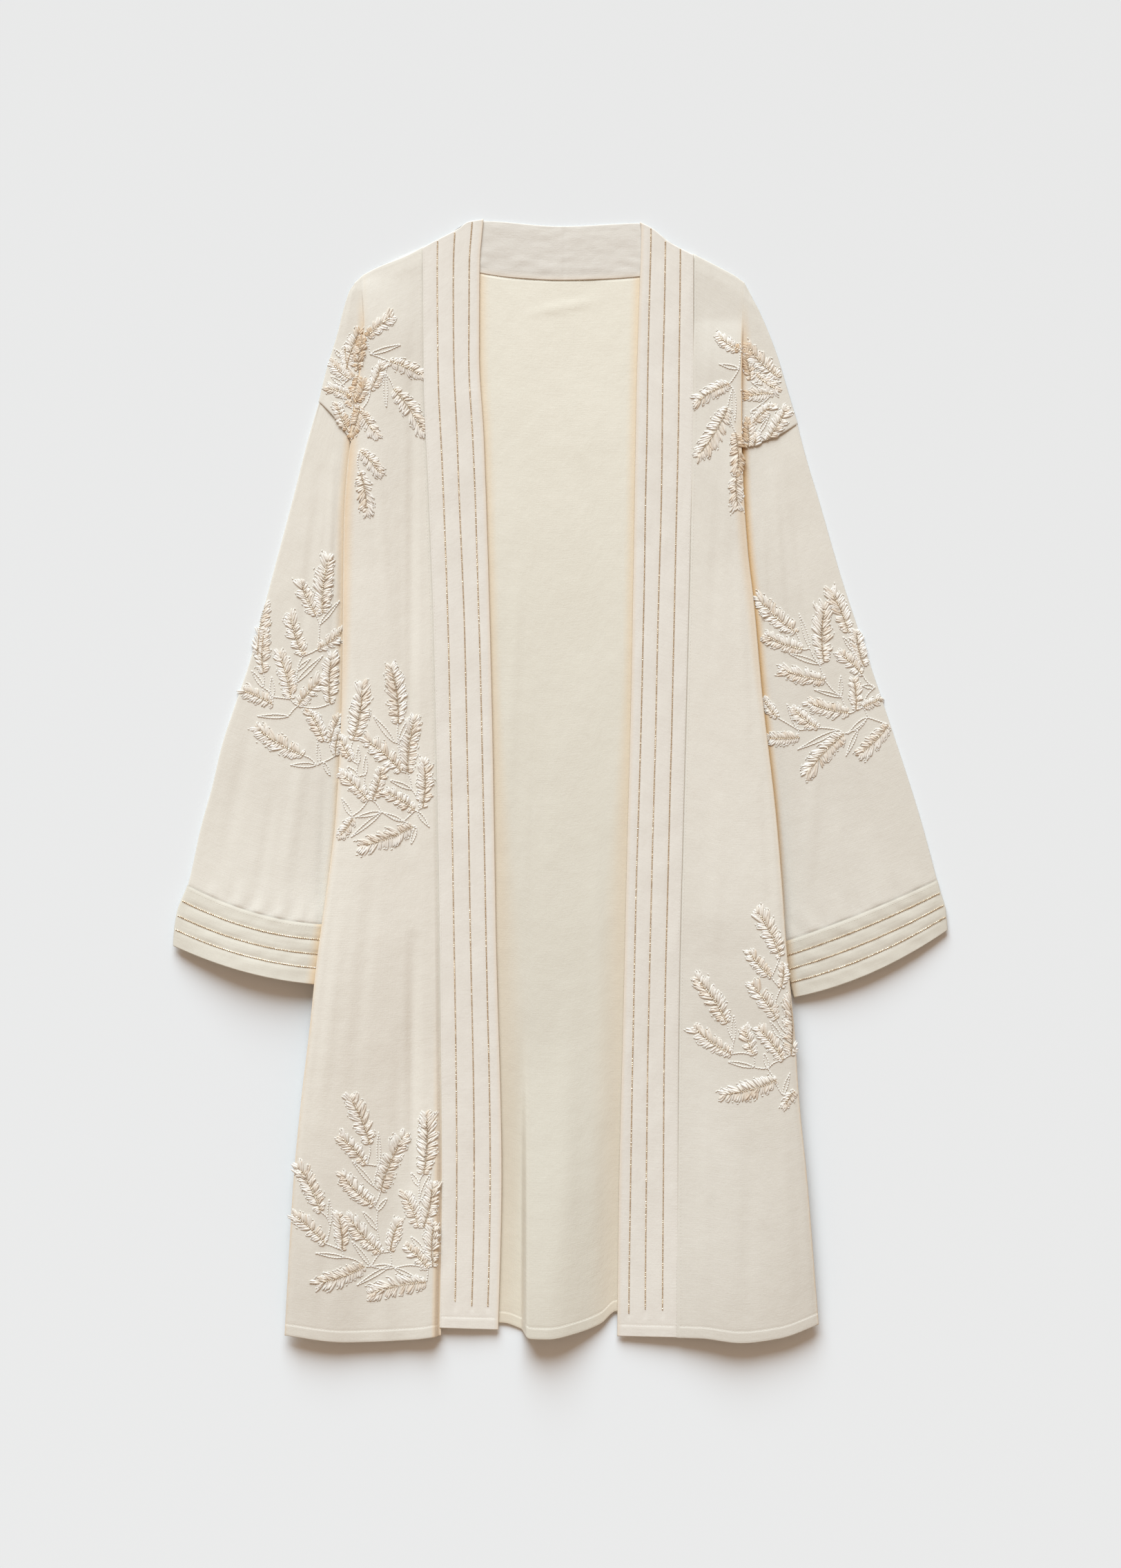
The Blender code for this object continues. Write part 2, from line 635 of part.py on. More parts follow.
def build():
    for old in list(bpy.data.objects):
        bpy.data.objects.remove(old)
    linen = material("linen", (.79, .74, .64), .85)
    banding = material("band linen", (.81, .77, .68), .82)
    thread = material("silk thread", (.86, .82, .73), .45)
    panels = {"back": make_back(linen)}
    for side, end in ((LEFT, "left"), (RIGHT, "right")):
        panels["front_" + end] = make_front(side, "front_" + end, linen)
        panels["sleeve_" + end] = make_sleeve(side, "sleeve_" + end, linen)
        make_cuff(side, "cuff_" + end, banding)
        cloth("band_" + end, [[across(band_section(side, row), DOUBLE_CLOTH)
                               for row in range(TOP_ROW + 1)]], banding)
    cloth("neck_band", [[across(neck_section(row), DOUBLE_CLOTH) for row in range(len(NECK_ROWS))]],
          banding)
    for name in SPRAYS:
        make_spray(name, panels, thread)


build()
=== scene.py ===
"""Open-front kaftan laid flat: cloth shells, bead chain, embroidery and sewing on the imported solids.

Lengths in the tables are in mm, +Z up, +Y from the hem to the neck, -X on the left as seen from above.
"""
import math
import random

import bmesh
import bpy
from mathutils import Matrix, Vector, noise
from mathutils.bvhtree import BVHTree


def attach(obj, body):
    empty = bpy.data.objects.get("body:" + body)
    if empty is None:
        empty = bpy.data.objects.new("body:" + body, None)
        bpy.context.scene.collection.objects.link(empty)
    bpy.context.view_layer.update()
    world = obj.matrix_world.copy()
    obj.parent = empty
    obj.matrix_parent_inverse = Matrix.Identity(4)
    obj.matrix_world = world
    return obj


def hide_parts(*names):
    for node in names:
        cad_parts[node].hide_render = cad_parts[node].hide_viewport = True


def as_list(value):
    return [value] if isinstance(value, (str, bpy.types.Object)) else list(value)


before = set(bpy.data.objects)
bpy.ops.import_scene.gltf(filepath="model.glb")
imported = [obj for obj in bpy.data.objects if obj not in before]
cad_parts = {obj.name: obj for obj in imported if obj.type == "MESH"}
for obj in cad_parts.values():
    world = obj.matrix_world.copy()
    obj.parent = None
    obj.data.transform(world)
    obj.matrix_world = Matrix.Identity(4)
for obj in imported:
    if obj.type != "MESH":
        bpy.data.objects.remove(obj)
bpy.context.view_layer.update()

MM = 0.001

# Driving dimensions of the solids
CLOTH = 1.0
DOUBLE_CLOTH = 1.7
SEAM = .3
LAYER = 2.2
BAND_LAYER = 2.7
LIFTED_AIR = .17
OVERHANG = 2.0
TUBE_RADIUS = 1.1
CUFF_RADIUS = .95
PLEAT_RADIUS = 1.0
ARMPIT_LINE = .843
PANEL_LENGTH = 1040

# Finer sizes of the cloth
WALL = .7
HEM_WIDTH = 11
HEM_RAISE = {"back": .35, "front": .3}
# The turn at the body's side: radius, angle in degrees, how far below the armpit it closes, and the warm
# light painted on it in its shade
SIDE_TURN = .8
SIDE_ANGLE = 150
SIDE_CLOSING = 22
SIDE_PAINTED_GLOW = .3
SEAM_DIP = .6
CHAIN_GROOVE = .45
BAND_PUFF = .3
# The lowest that the upper of two layers may lie
LOWEST = CLOTH * 1.5 + SEAM
# How far beside the band seam its dip, its valley, the hem's rise and the creases reach
SEAM_REACH = {"dip": 1.8, "valley": 15, "hem": 3, "creases": 8}
# The hem's step up and the dip of its row of stitches
HEM_STEP = {"start": 1.5, "reach": 3}
STITCH_DIP = {"depth": .25, "reach": 1.6}

# The two sides: a row is a height up the garment and a distance from its middle, but for shoulder
# (distance, height), hem and band_hem (share across, height), bow and tuck (share down the sleeve, size)
# and carry (height, lift of the back over the tucked sleeve). Below the rows: cuff is the cuff seam's share
# down the sleeve, chain_end the height where the bead lines end, lift the sleeve's share of SLEEVE_LIFT,
# pleat_end the share of the way up where the pleat has opened out, valley the dip beside the band seam,
# and shade and glow the strength of warm light at the front's side and on the sleeve beside it
LEFT = {
    "name": "left",
    "sign": -1,
    "opening": ((-518, 58.5), (-373, 55.3), (-151, 60.5), (70, 64.5), (321, 72), (402, 76.5), (484, 76),
                (528, 72.5)),
    "seam": ((-514, 114), (-370, 112), (-240, 113), (-110, 114.5), (20, 117), (150, 120), (280, 125),
             (370, 129), (505, 130)),
    "edge": ((-528, 258.5), (-474, 255.5), (-377, 249.5), (-299, 242), (-240, 235), (-169, 227.5),
             (-104, 218.5), (-32, 210), (85, 204.5), (240, 203), (331, 196), (432, 184), (475, 186)),
    "shoulder": ((72, 528.5), (87, 526), (95, 520), (120, 507), (144, 494), (175, 481), (186, 475)),
    "drop": ((355, 227.5), (384, 220.4), (422, 209), (442, 204), (461, 198), (468, 193.5)),
    "sleeve": ((-157, 364), (-143, 363.2), (-124, 360.3), (-98, 350.5), (-45, 338.7), (-6, 328),
               (32, 319), (72, 306), (110, 293), (188, 272.4), (266, 251.6), (325, 236.5), (355, 227.5)),
    "hem": ((0, -523), (.2, -526.5), (.6, -528.5), (1, -522)),
    "band_hem": ((0, -518), (1, -516)),
    "outer_span": (355.6, -156.5),
    "inner_span": (318.5, -193.5),
    "bow": ((0, 3.2), (.3, -2), (.6, -6), (.888, -9), (1, -7)),
    "tuck": ((0, -2.5), (.03, -.6), (.08, 0), (.2, 11), (1, 12)),
    "carry": ((-528, 5.4), (-450, 8.6), (-345, 12.4), (-250, 14.5), (-205, 14.8), (-165, 14.2),
              (-130, 12.8), (-90, 11), (-40, 9), (60, 6.4), (180, 4.6), (260, 3), (330, 1), (380, 0)),
    "cuff": .888,
    "chain_end": -499,
    "lift": 1.08,
    "pleat_end": 1,
    "valley": .7,
    "shade": .5,
    "glow": .62,
}
RIGHT = {
    "name": "right",
    "sign": 1,
    "opening": ((-524, 53.3), (-373, 55.3), (-225, 59), (-77, 62.4), (70, 66.3), (218, 69), (365, 71.5),
                (450, 74), (520, 76), (526, 74.5)),
    "seam": ((-514, 110.5), (-305, 111), (-175, 112.5), (-45, 115.7), (84, 119), (214, 122.2),
             (370, 125.5), (500, 125.5)),
    "edge": ((-528, 243), (-474, 238.6), (-377, 230.8), (-299, 223), (-240, 219), (-156, 211),
             (-103, 207.4), (-32, 201.5), (78, 189), (169, 180.7), (214, 175.5), (280, 171),
             (345, 169.7), (410, 169.7), (468, 173)),
    "shoulder": ((74, 526), (85, 520), (102, 507), (127, 494), (152, 481), (164, 474.5), (173, 468)),
    "drop": ((334, 223), (364, 214), (403, 202.2), (442, 186.6), (455, 180)),
    "sleeve": ((-143, 364.1), (-124, 362.5), (-104, 356.9), (-84, 351.7), (-45, 341.3), (-6, 329.6),
               (32, 317.2), (110, 291.2), (188, 265.2), (266, 242.5), (305, 230.8), (335, 223)),
    "hem": ((0, -524.5), (.15, -524.5), (.45, -528.5), (.72, -524.5), (1, -512)),
    "band_hem": ((0, -524), (1, -524.5)),
    "outer_span": (334.8, -142),
    "inner_span": (313.5, -205),
    "bow": ((0, -4), (.45, -3), (.9, -2.6), (1, -8.5)),
    "tuck": ((0, -2.5), (.03, -.6), (.08, 0), (.2, 9), (.84, 9), (.9, 2), (1, -6)),
    "carry": ((-528, 3), (-450, 4.6), (-345, 7.2), (-250, 10), (-190, 11.6), (-160, 11.4), (-130, 10.6),
              (-90, 9.4), (-40, 8), (60, 6), (180, 4.6), (260, 3), (330, 1), (380, 0)),
    "cuff": .9,
    "chain_end": -505,
    "lift": .42,
    "pleat_end": .78,
    "valley": .35,
    "shade": .4,
    "glow": 1.25,
}
SIDES = (LEFT, RIGHT)
NECK_SEAM = ((-186, 475), (-118, 503), (-98, 490), (-76, 478), (-40, 473), (0, 471), (40, 472),
             (75, 474.5), (98, 486), (112, 497), (173, 468))
NECK_TOP = ((-115, 508), (-95, 518), (-87, 524), (-72, 527), (0, 522), (74, 525), (85, 518), (108, 501))
BACK_HEM = ((-258, -516), (-100, -512), (-56, -511.5), (-37, -517.5), (-28, -524), (-12, -524.5),
            (16, -519.5), (38, -512), (53, -500.5), (85, -502), (130, -512), (243, -507))

# Waves and folds reach up from the hem, from this height: place across, half width, lift and reach
HEM_LINE = -524
HEM_WAVES = ((-190, 62, 6, 320), (172, 60, 10.5, 320), (-86, 34, 2.5, 120), (84, 36, 2.5, 120))
FRONT_WAVES = ((-180, 48, 2.5, 300), (165, 52, 3, 300), (-150, 22, 1.6, 620), (148, 18, 1.5, 560))
BACK_FOLD = {"place": -37, "rise": 6, "crest": -14, "fade": 72, "lift": 22, "reach": 300}
# The roll beside the left band: height up the garment, and the roll's height
ROLL = ((-528, 6), (-430, 4.4), (-240, 1.8), (0, .7), (180, .3), (310, 0))
ROLL_START = .8
ROLL_SIDE = 4
ROLL_FADE = 36
# The back's carry over the tucked sleeve: a level shelf past the sleeve's fold, then a fall that is wider
# where the lift is more
CARRY_SHELF = 4
CARRY_SPREAD = 36
CARRY_GROWTH = 5
# Lift of the sleeves towards the cuff: share down, outer edge, middle and inner edge
SLEEVE_LIFT = ((.5, 0, 0, 0), (.7, .2, 1.2, .2), (.8, .9, 3.4, 1.5), (.888, 2, 7, 4.6), (1, 4.5, 14, 9))
SLEEVE_FULLNESS = 1.5
# Lift of the sleeve's upper cloth at the armhole, at its outer and inner fold
ARMHOLE_RISE = (-.9, .5)
# The pleat at the shoulder: share of the way from the armpit to the shoulder, turn in degrees and depth.
# Its height runs out below the armpit, and in from the front's side
PLEAT_TURN = ((0, 180), (.5, 180), (.66, 130), (.8, 85), (.91, 45), (1, 0))
PLEAT_DEPTH = ((0, 10), (.33, 6), (.5, 1.5), (.62, 0))
PLEAT_RUNOUT = {"start": 12, "reach": 110, "left": .4, "left_reach": 90}
PLEAT_INSIDE = {"start": 15, "reach": 55}
ARMPIT_SETTLE = {"depth": .9, "reach": 24, "width": 5}
# The front falls a little to its shoulder edge: from this line up, over this share
SHOULDER_FALL = {"depth": .9, "start": .986, "span": .014}
# The pressed cloth's unevenness: height, and its size across and along
UNEVENNESS = ((.5, 45, 70), (.1, 13, 17))

# Listed creases: both ends, half width and height, which is below 0 for a trough
CREASES = {
    "back": ((-30, 440, 35, 452, 5, .5), (20, 300, 48, 120, 9, -.5), (-40, 200, -52, -60, 10, .5),
             (-48, -100, -44, -420, 9, -.8), (30, -60, 44, -330, 12, .6), (8, -200, 4, -470, 16, .7),
             (-15, 80, -26, -120, 12, -.4), (40, -330, 46, -490, 8, -.7), (-4, 360, 22, 250, 11, -.4)),
    "front_left": ((-172, 300, -160, 120, 8, .5), (-150, 240, -146, 20, 9, -.6),
                   (-196, 150, -188, -40, 7, .6), (-176, -80, -196, -300, 11, -.6),
                   (-205, -120, -228, -330, 9, .7), (-150, -240, -156, -420, 11, -.7),
                   (-165, -470, -163, -524, 9, .6), (-139, -150, -139, -380, 9, -2.0),
                   (-139, 380, -141, -60, 8, -1.3), (-214, -380, -226, -520, 11, -.7),
                   (-141, 430, -140, 330, 8, -.4)),
    "front_right": ((150, 300, 142, 110, 8, -.5), (166, 210, 176, 20, 8, .6), (190, 0, 200, -150, 7, -.5),
                    (150, -20, 140, -220, 11, .6), (206, -310, 218, -480, 10, .7),
                    (178, -340, 176, -500, 12, -.7), (138, -300, 134, -505, 9, .5),
                    (140, 440, 138, 330, 7, .4)),
    "sleeve_left": ((-214, 300, -222, 120, 6, .7), (-226, 290, -250, 80, 8, -.6),
                    (-240, 40, -262, -110, 10, .7), (-290, 60, -318, -80, 11, -.6),
                    (-222, 0, -226, -120, 7, -.8),
                    (-206, 250, -208, 60, 4, -.7), (-270, -10, -286, -118, 8, -.5)),
    "sleeve_right": ((200, 286, 212, 120, 7, .8), (214, 300, 236, 130, 8, -.7),
                     (240, 20, 232, -110, 10, .7), (276, 20, 300, -90, 12, -.6), (208, 20, 214, -120, 7, -.7),
                     (190, 240, 196, 90, 4, .6), (258, -30, 268, -118, 8, .5)),
}
# Puckers in the sleeve above the cuff seam: share across from the outer edge, width and height
PUCKERS = {
    "left": ((.16, 5, .5), (.27, 4, -.5), (.34, 4, .8), (.41, 3.5, -.7), (.47, 4, .9), (.54, 4, -.6),
             (.61, 4, .8), (.68, 3.5, -.6), (.75, 4, .6), (.84, 5, .4)),
    "right": ((.12, 5, .4), (.25, 5, -.4), (.38, 4, .5), (.5, 5, -.5), (.6, 4, .4), (.72, 4, -.5),
              (.8, 3.5, .7), (.87, 3, -.7), (.93, 3, .6)),
}
PUCKER_REACH = 26
PUCKER_DEPTH = 2
# A crease swells along its length as half a wave does: where on the wave it starts, and how much it takes
CREASE_DEPTH = 1.7
CREASE_ENDS = (.08, .84)
# Warm shade at the side of a front: height up the garment, strength and width
SIDE_SHADE = ((-528, .1, 4), (-180, .2, 4), (40, .3, 5), (130, .8, 9), (300, 1, 11), (345, .4, 8),
              (400, .1, 5))
# Warm light in the roll beside the left band, below the height where it starts
ROLL_PAINTED_GLOW = {"strength": .4, "out": 4.5, "width": 4, "start": -180, "span": 260}
# Warm light on the back beside the bands, from the neck to the hem: strength and width
RIM_PAINTED_GLOW = {"top": .44, "less": .22, "width": 10, "wider": 22, "start": 140, "span": 420}
# The back shows its creases only between the bands, and runs out of them this far under
UNDER_BAND = 14
# The drop under the pleat: warm light in the fold, and how its end settles on the sleeve
FOLD_PAINTED_GLOW = .7
DROP_STEPS = 16
DROP_RISE = {"height": .8, "reach": .6}
DROP_DIP = {"depth": .35, "reach": 2.5}
# Light and shade painted on the cloth on its way up a piece: height and share of its full tone
PAINTED_LIGHT_AND_SHADE = {
    "back_cloth": ((-500, .94), (-380, .92), (-240, .94), (150, 1.01), (442, 1.083)),
    "front_left_cloth": ((-500, .975), (-400, .99), (-300, 1.03), (150, 1.03), (461, .98)),
    "front_right_cloth": ((-403, .92), (-200, .95), (85, 1), (449, .935)),
    "sleeve_left_cloth": ((-45, .985), (266, 1.01)),
    "sleeve_right_cloth": ((-45, .935), (240, .97)),
    "band_right_cloth": ((-403, .965), (85, .99), (449, .99)),
    "neck_band_cloth": ((470, .905), (530, .905)),
    "cuff_right_cloth": ((-200, .97), (-140, .97)),
}
# Bead chain: shares across a band from its inner edge, and down a cuff from its seam
BAND_LINES = (.19, .46, .745)
CUFF_LINES = (.25, .49, .72)

# Embroidery: broad leaves and thin leaves, each as where it starts and where its tip lies (x, y). A sleeve's
# spray is sewn on the sleeve, and every other one on the front of its side
SPRAYS = {
    "shoulder_left": {
        "broad": ((-182, 417, -158, 436), (-179, 367, -169, 391), (-161, 394, -130, 380),
                  (-157, 368, -130, 328), (-188, 348, -173, 325), (-189, 310, -170, 288),
                  (-188, 289, -183, 252), (-195, 353, -183, 375)),
        "thin": ((-179, 401, -150, 410), (-165, 383, -164, 350)),
    },
    "drop_left": {
        "broad": ((-202, 387, -189, 422), (-191, 386, -186, 415), (-199, 378, -215, 393),
                  (-197, 361, -219, 369), (-200, 329, -210, 353),
                  (-190, 381, -199, 353), (-189, 352, -197, 325), (-203, 409, -199, 384)),
        "thin": ((-205, 372, -216, 380), (-196, 350, -206, 362), (-206, 398, -213, 406)),
    },
    "sleeve_left": {
        "broad": ((-224, 157, -218, 209), (-230, 155, -244, 186), (-242, 117, -254, 155),
                  (-254, 76, -265, 118), (-280, 101, -279, 140), (-285, 118, -278, 164),
                  (-271, 71, -301, 84), (-242, 23, -286, 49), (-229, 123, -204, 142),
                  (-217, 72, -215, 116), (-247, 70, -225, 94), (-223, 37, -237, 64),
                  (-217, 36, -208, 59), (-212, 23, -209, 45)),
        "thin": ((-256, 60, -285, 60), (-227, 146, -208, 169), (-250, 91, -224, 117), (-230, 14, -254, 14),
                 (-227, 15, -229, 36), (-280, 87, -291, 103), (-271, 78, -272, 97), (-223, 17, -217, 4),
                 (-248, 103, -236, 114)),
    },
    "hip_left": {
        "broad": ((-153, 53, -160, 106), (-195, 37, -187, 89), (-150, 8, -183, 37), (-144, 7, -137, 57),
                  (-130, -26, -129, 16), (-137, -29, -164, -12), (-181, -19, -206, 5),
                  (-177, -19, -169, 10), (-196, 19, -206, 39), (-139, -44, -188, -62),
                  (-195, -36, -208, -53)),
        "thin": ((-156, 35, -176, 60), (-153, 35, -141, 61), (-140, -9, -161, 0), (-190, 3, -201, 13),
                 (-184, 4, -183, 23), (-190, 15, -190, 31), (-168, -30, -197, -54), (-169, -30, -192, -35),
                 (-148, -39, -166, -31), (-196, -34, -205, -18), (-136, -44, -141, -61),
                 (-135, -29, -124, -44)),
    },
    "hem_left": {
        "broad": ((-179, -343, -198, -298), (-183, -361, -207, -335), (-169, -386, -147, -335),
                  (-129, -371, -127, -315), (-175, -400, -204, -371), (-225, -405, -246, -363),
                  (-221, -435, -249, -409), (-205, -441, -209, -408), (-169, -444, -198, -411),
                  (-160, -443, -152, -416), (-133, -421, -147, -390), (-129, -421, -121, -381),
                  (-125, -459, -146, -438), (-184, -457, -228, -472), (-126, -472, -180, -484),
                  (-120, -457, -119, -418)),
        "thin": ((-203, -448, -229, -444), (-171, -363, -171, -331), (-175, -382, -196, -357),
                 (-216, -418, -217, -393), (-133, -382, -141, -369), (-133, -397, -122, -369),
                 (-159, -456, -192, -475), (-178, -457, -196, -433), (-156, -458, -178, -457),
                 (-156, -459, -136, -468), (-172, -423, -186, -405), (-172, -405, -163, -393),
                 (-128, -444, -141, -429)),
    },
    "shoulder_right": {
        "broad": ((169, 404, 149, 418), (159, 373, 128, 355), (157, 350, 129, 305), (165, 326, 166, 290),
                  (166, 288, 167, 256)),
        "thin": ((168, 387, 150, 391), (162, 369, 164, 338)),
    },
    "drop_right": {
        "broad": ((206, 379, 176, 409), (179, 377, 173, 402), (200, 364, 176, 361), (194, 320, 212, 350),
                  (176, 310, 176, 337), (177, 288, 178, 311), (181, 298, 185, 324),
                  (181, 336, 199, 352), (184, 382, 204, 368)),
        "thin": ((181, 374, 207, 375), (179, 347, 190, 347), (186, 326, 196, 342), (183, 392, 200, 386)),
    },
    "sleeve_right": {
        "broad": ((222, 139, 187, 171), (228, 123, 193, 136), (248, 111, 249, 164), (271, 139, 254, 178),
                  (284, 100, 262, 119), (286, 107, 279, 140), (249, 94, 210, 104), (278, 66, 276, 94),
                  (272, 63, 234, 73), (285, 69, 301, 77), (242, 49, 220, 67), (204, 59, 192, 76),
                  (225, 40, 195, 40), (267, 43, 233, 6), (309, 52, 281, 24)),
        "thin": ((235, 124, 225, 156), (279, 114, 274, 142), (276, 121, 266, 135), (244, 109, 215, 119),
                 (265, 78, 239, 85), (296, 87, 284, 89), (224, 47, 213, 72), (261, 47, 224, 29),
                 (289, 59, 271, 44), (280, 47, 269, 23), (264, 79, 264, 98)),
    },
    "front_right": {
        "broad": ((206, -166, 185, -124), (198, -185, 178, -162), (203, -225, 179, -192),
                  (157, -229, 128, -187), (161, -258, 126, -233), (182, -259, 174, -233),
                  (209, -263, 186, -234), (203, -282, 153, -296), (216, -258, 215, -206),
                  (220, -292, 211, -306), (207, -195, 209, -174)),
        "thin": ((163, -246, 163, -221), (182, -270, 157, -265), (207, -243, 197, -227),
                 (213, -238, 211, -214), (209, -296, 215, -276), (195, -271, 191, -256)),
    },
}
# A broad leaf: share of its length and share of its half width, which grows with its length
LEAF_FORM = ((0, .45), (.12, .8), (.4, 1), (.75, .9), (1, .45))
LEAF_BREADTH = 2.9
LEAF_SLIMNESS = .115
LEAF_BEND = .045
# Its loops: pitch along the midrib, lean in degrees at the root, how much less it is at the tip, its spread
# and its least sine, how much darker the shaded side is, and where a loop's middle lies on its way out
LOOP_PITCH = 3.2
LOOP_LEAN = 74
LEAN_LESS = 38
LEAN_SPREAD = 20
LEAST_LEAN = .45
SHADED_SIDE = .5
LOOP_MIDDLE = .52
# Share of the loops with a white stitch at their outer end, and the tone of thread that stays white
RIM_SHARE = .8
WHITE = -1.1
# Half width of a thin leaf, and the longest stem between two leaves
THIN_BULGE = 1.9
STEM_REACH = 34
STITCH_PITCH = 2.5
BEAD_PITCH = 1.75
LEAF_BEAD_PITCH = 2.0
# How far from the edge of the body the thread on a sleeve ends
UNDER_EDGE = 1.2
# Small shapes in one batch of a heap
BATCH = 24


def clamp(share):
    return min(1.0, max(0.0, share))


def ease(share):
    """A soft step from 0 to 1."""
    share = clamp(share)
    return share * share * (3 - 2 * share)


def near(distance, reach):
    """1 at a place, and softly down to 0 at reach from it."""
    return 1 - ease(distance / reach)


def read(rows, place, column=1):
    """The value at a place on a smooth curve through rows, which never overshoots them."""
    if place <= rows[0][0]:
        return rows[0][column]
    if place >= rows[-1][0]:
        return rows[-1][column]
    k = next(i for i in range(len(rows) - 1) if place <= rows[i + 1][0])

    def slope(i):
        return (rows[i + 1][column] - rows[i][column]) / (rows[i + 1][0] - rows[i][0])

    def tangent(i):
        if i == 0 or i == len(rows) - 1:
            return slope(min(i, len(rows) - 2))
        before, after = slope(i - 1), slope(i)
        return 0.0 if before * after <= 0 else 2 * before * after / (before + after)

    span = rows[k + 1][0] - rows[k][0]
    t = (place - rows[k][0]) / span
    bend = t * t * (3 - 2 * t)
    value = rows[k][column] * (1 - bend) + rows[k + 1][column] * bend
    value += span * (t * (1 - t) ** 2 * tangent(k) - t * t * (1 - t) * tangent(k + 1))
    return value


def ladder(start, *runs):
    """Rising values from start, in runs of (up to, step)."""
    values = [start]
    for end, step in runs:
        count = max(1, round((end - values[-1]) / step))
        first = values[-1]
        values += [first + (end - first) * (k + 1) / count for k in range(count)]
    return values


def side_of(x):
    return LEFT if x < 0 else RIGHT


# Heights of the layers above the floor

def hem_fade(y, reach):
    """1 at the hem, 0 at reach above it."""
    return near(y - HEM_LINE, reach)


def waves(table, x, y):
    total = 0.0
    for place, half, lift, reach in table:
        total += lift * near(abs(x - place), 2 * half) * hem_fade(y, reach)
    return total


def back_fold(x, y):
    """The fold that stands up at the hem between the bands, steep on its left."""
    rise = ease((x - BACK_FOLD["place"]) / BACK_FOLD["rise"])
    fall = near(x - BACK_FOLD["crest"], BACK_FOLD["fade"])
    return BACK_FOLD["lift"] * rise * fall * hem_fade(y, BACK_FOLD["reach"])


def tuck_at(side, y):
    """How far the sleeve's inner fold lies in under the back's side edge."""
    top, bottom = side["inner_span"]
    return read(side["tuck"], (top - y) / (top - bottom))


def back_height(x, y):
    side = side_of(x)
    lift = read(side["carry"], y)
    inside = read(side["edge"], y) - OVERHANG - abs(x)
    flat = max(0.0, tuck_at(side, y)) + CARRY_SHELF
    carried = lift * near(inside - flat, CARRY_SPREAD + CARRY_GROWTH * lift)
    return CLOTH / 2 + carried + waves(HEM_WAVES, x, y) + back_fold(x, y)


def fold_steps(turn, depth):
    """Runs and falls of a sheet that turns down and back under itself, then out again."""
    arc_count = 6
    least, added = .35, .65
    length = PLEAT_RADIUS * math.pi / arc_count * (least + added * turn / math.pi)
    arc = [(length, turn * (k + .5) / arc_count) for k in range(arc_count)]
    middle = (depth + length) / 2
    run, fall = 0.0, 0.0
    places = []
    for length, heading in arc + [(middle, turn), (middle, turn)] + arc[::-1]:
        run += length * math.cos(heading)
        fall += length * math.sin(heading)
        places.append((run, fall))
    return places


def pleat_share(side, y):
    """0 at the armpit, 1 at the shoulder."""
    armpit = side["inner_span"][0]
    return clamp((y - armpit) / (side["edge"][-1][0] - armpit))


def pleat_turn(side, share):
    """How far the cloth turns under at the pleat, in radians."""
    return math.radians(read(PLEAT_TURN, share / side["pleat_end"]))


def pleat_fall(side, y):
    """How far the pleat drops from the front to the cloth below it."""
    below = side["inner_span"][0] - y
    if below > 0:
        height = fold_steps(math.pi, 0)[-1][1]
        height *= near(below - PLEAT_RUNOUT["start"], PLEAT_RUNOUT["reach"])
        return height + PLEAT_RUNOUT["left"] * ease(below / PLEAT_RUNOUT["left_reach"])
    return fold_steps(pleat_turn(side, pleat_share(side, y)), 0)[-1][1]


def front_height(side, x, y):
    inside = read(side["edge"], y) - abs(x)
    under = back_height(x, y)
    height = under + LAYER + LIFTED_AIR * (under - CLOTH / 2)
    height += pleat_fall(side, y) * near(inside - PLEAT_INSIDE["start"], PLEAT_INSIDE["reach"])
    below = ease((side["inner_span"][0] - y) / ARMPIT_SETTLE["reach"])
    height -= ARMPIT_SETTLE["depth"] * below * near(inside, ARMPIT_SETTLE["width"])
    if side is LEFT:
        out = abs(x) - read(side["seam"], y)
        rolled = ease((out - ROLL_START) / ROLL_SIDE) * near(out - ROLL_SIDE, ROLL_FADE)
        height += read(ROLL, y) * rolled
    return height + waves(FRONT_WAVES, x, y)


def creased(name, x, y):
    """Soft listed troughs and ridges, and the small unevenness of pressed cloth."""
    total = 0.0
    for seed, (height, across, along) in zip((len(name), 3), UNEVENNESS):
        total += height * noise.noise(Vector((x / across, y / along, seed)))
    for x0, y0, x1, y1, half, height in CREASES.get(name, ()):
        way_x, way_y = x1 - x0, y1 - y0
        along = clamp(((x - x0) * way_x + (y - y0) * way_y) / (way_x * way_x + way_y * way_y))
        off = math.hypot(x - x0 - way_x * along, y - y0 - way_y * along)
        if off < half:
            swell = math.sin(math.pi * (CREASE_ENDS[0] + CREASE_ENDS[1] * along))
            total += CREASE_DEPTH * height * near(off, half) * swell
    return total


# Places on the flat outline

def front_plan(side, share, line):
    """x and y of a front at a share across from the seam and a line up from the hem."""
    top_x = side["seam"][-1][1] * (1 - share) + side["edge"][-1][1] * share
    top = read(side["shoulder"], top_x)
    hem = read(side["hem"], share)
    y = hem + (top - hem) * line
    seam = read(side["seam"], y) + SEAM / 2
    return (seam + (read(side["edge"], y) - seam) * share) * side["sign"], y


def back_plan(share, line):
    side = LEFT if share < 0 else RIGHT
    top = read(NECK_SEAM, share * (side["edge"][-1][1] - OVERHANG))
    hem = read(BACK_HEM, share * (side["edge"][0][1] - OVERHANG))
    y = hem + (top - hem) * line
    return share * (read(side["edge"], y) - OVERHANG), y


def band_plan(side, share, line):
    top_x = side["opening"][-1][1] * (1 - share) + side["seam"][-1][1] * share
    top = read(side["shoulder"], top_x)
    hem = read(side["band_hem"], share)
    y = hem + (top - hem) * line
    inner = read(side["opening"], y)
    return (inner + (read(side["seam"], y) - SEAM / 2 - inner) * share) * side["sign"], y


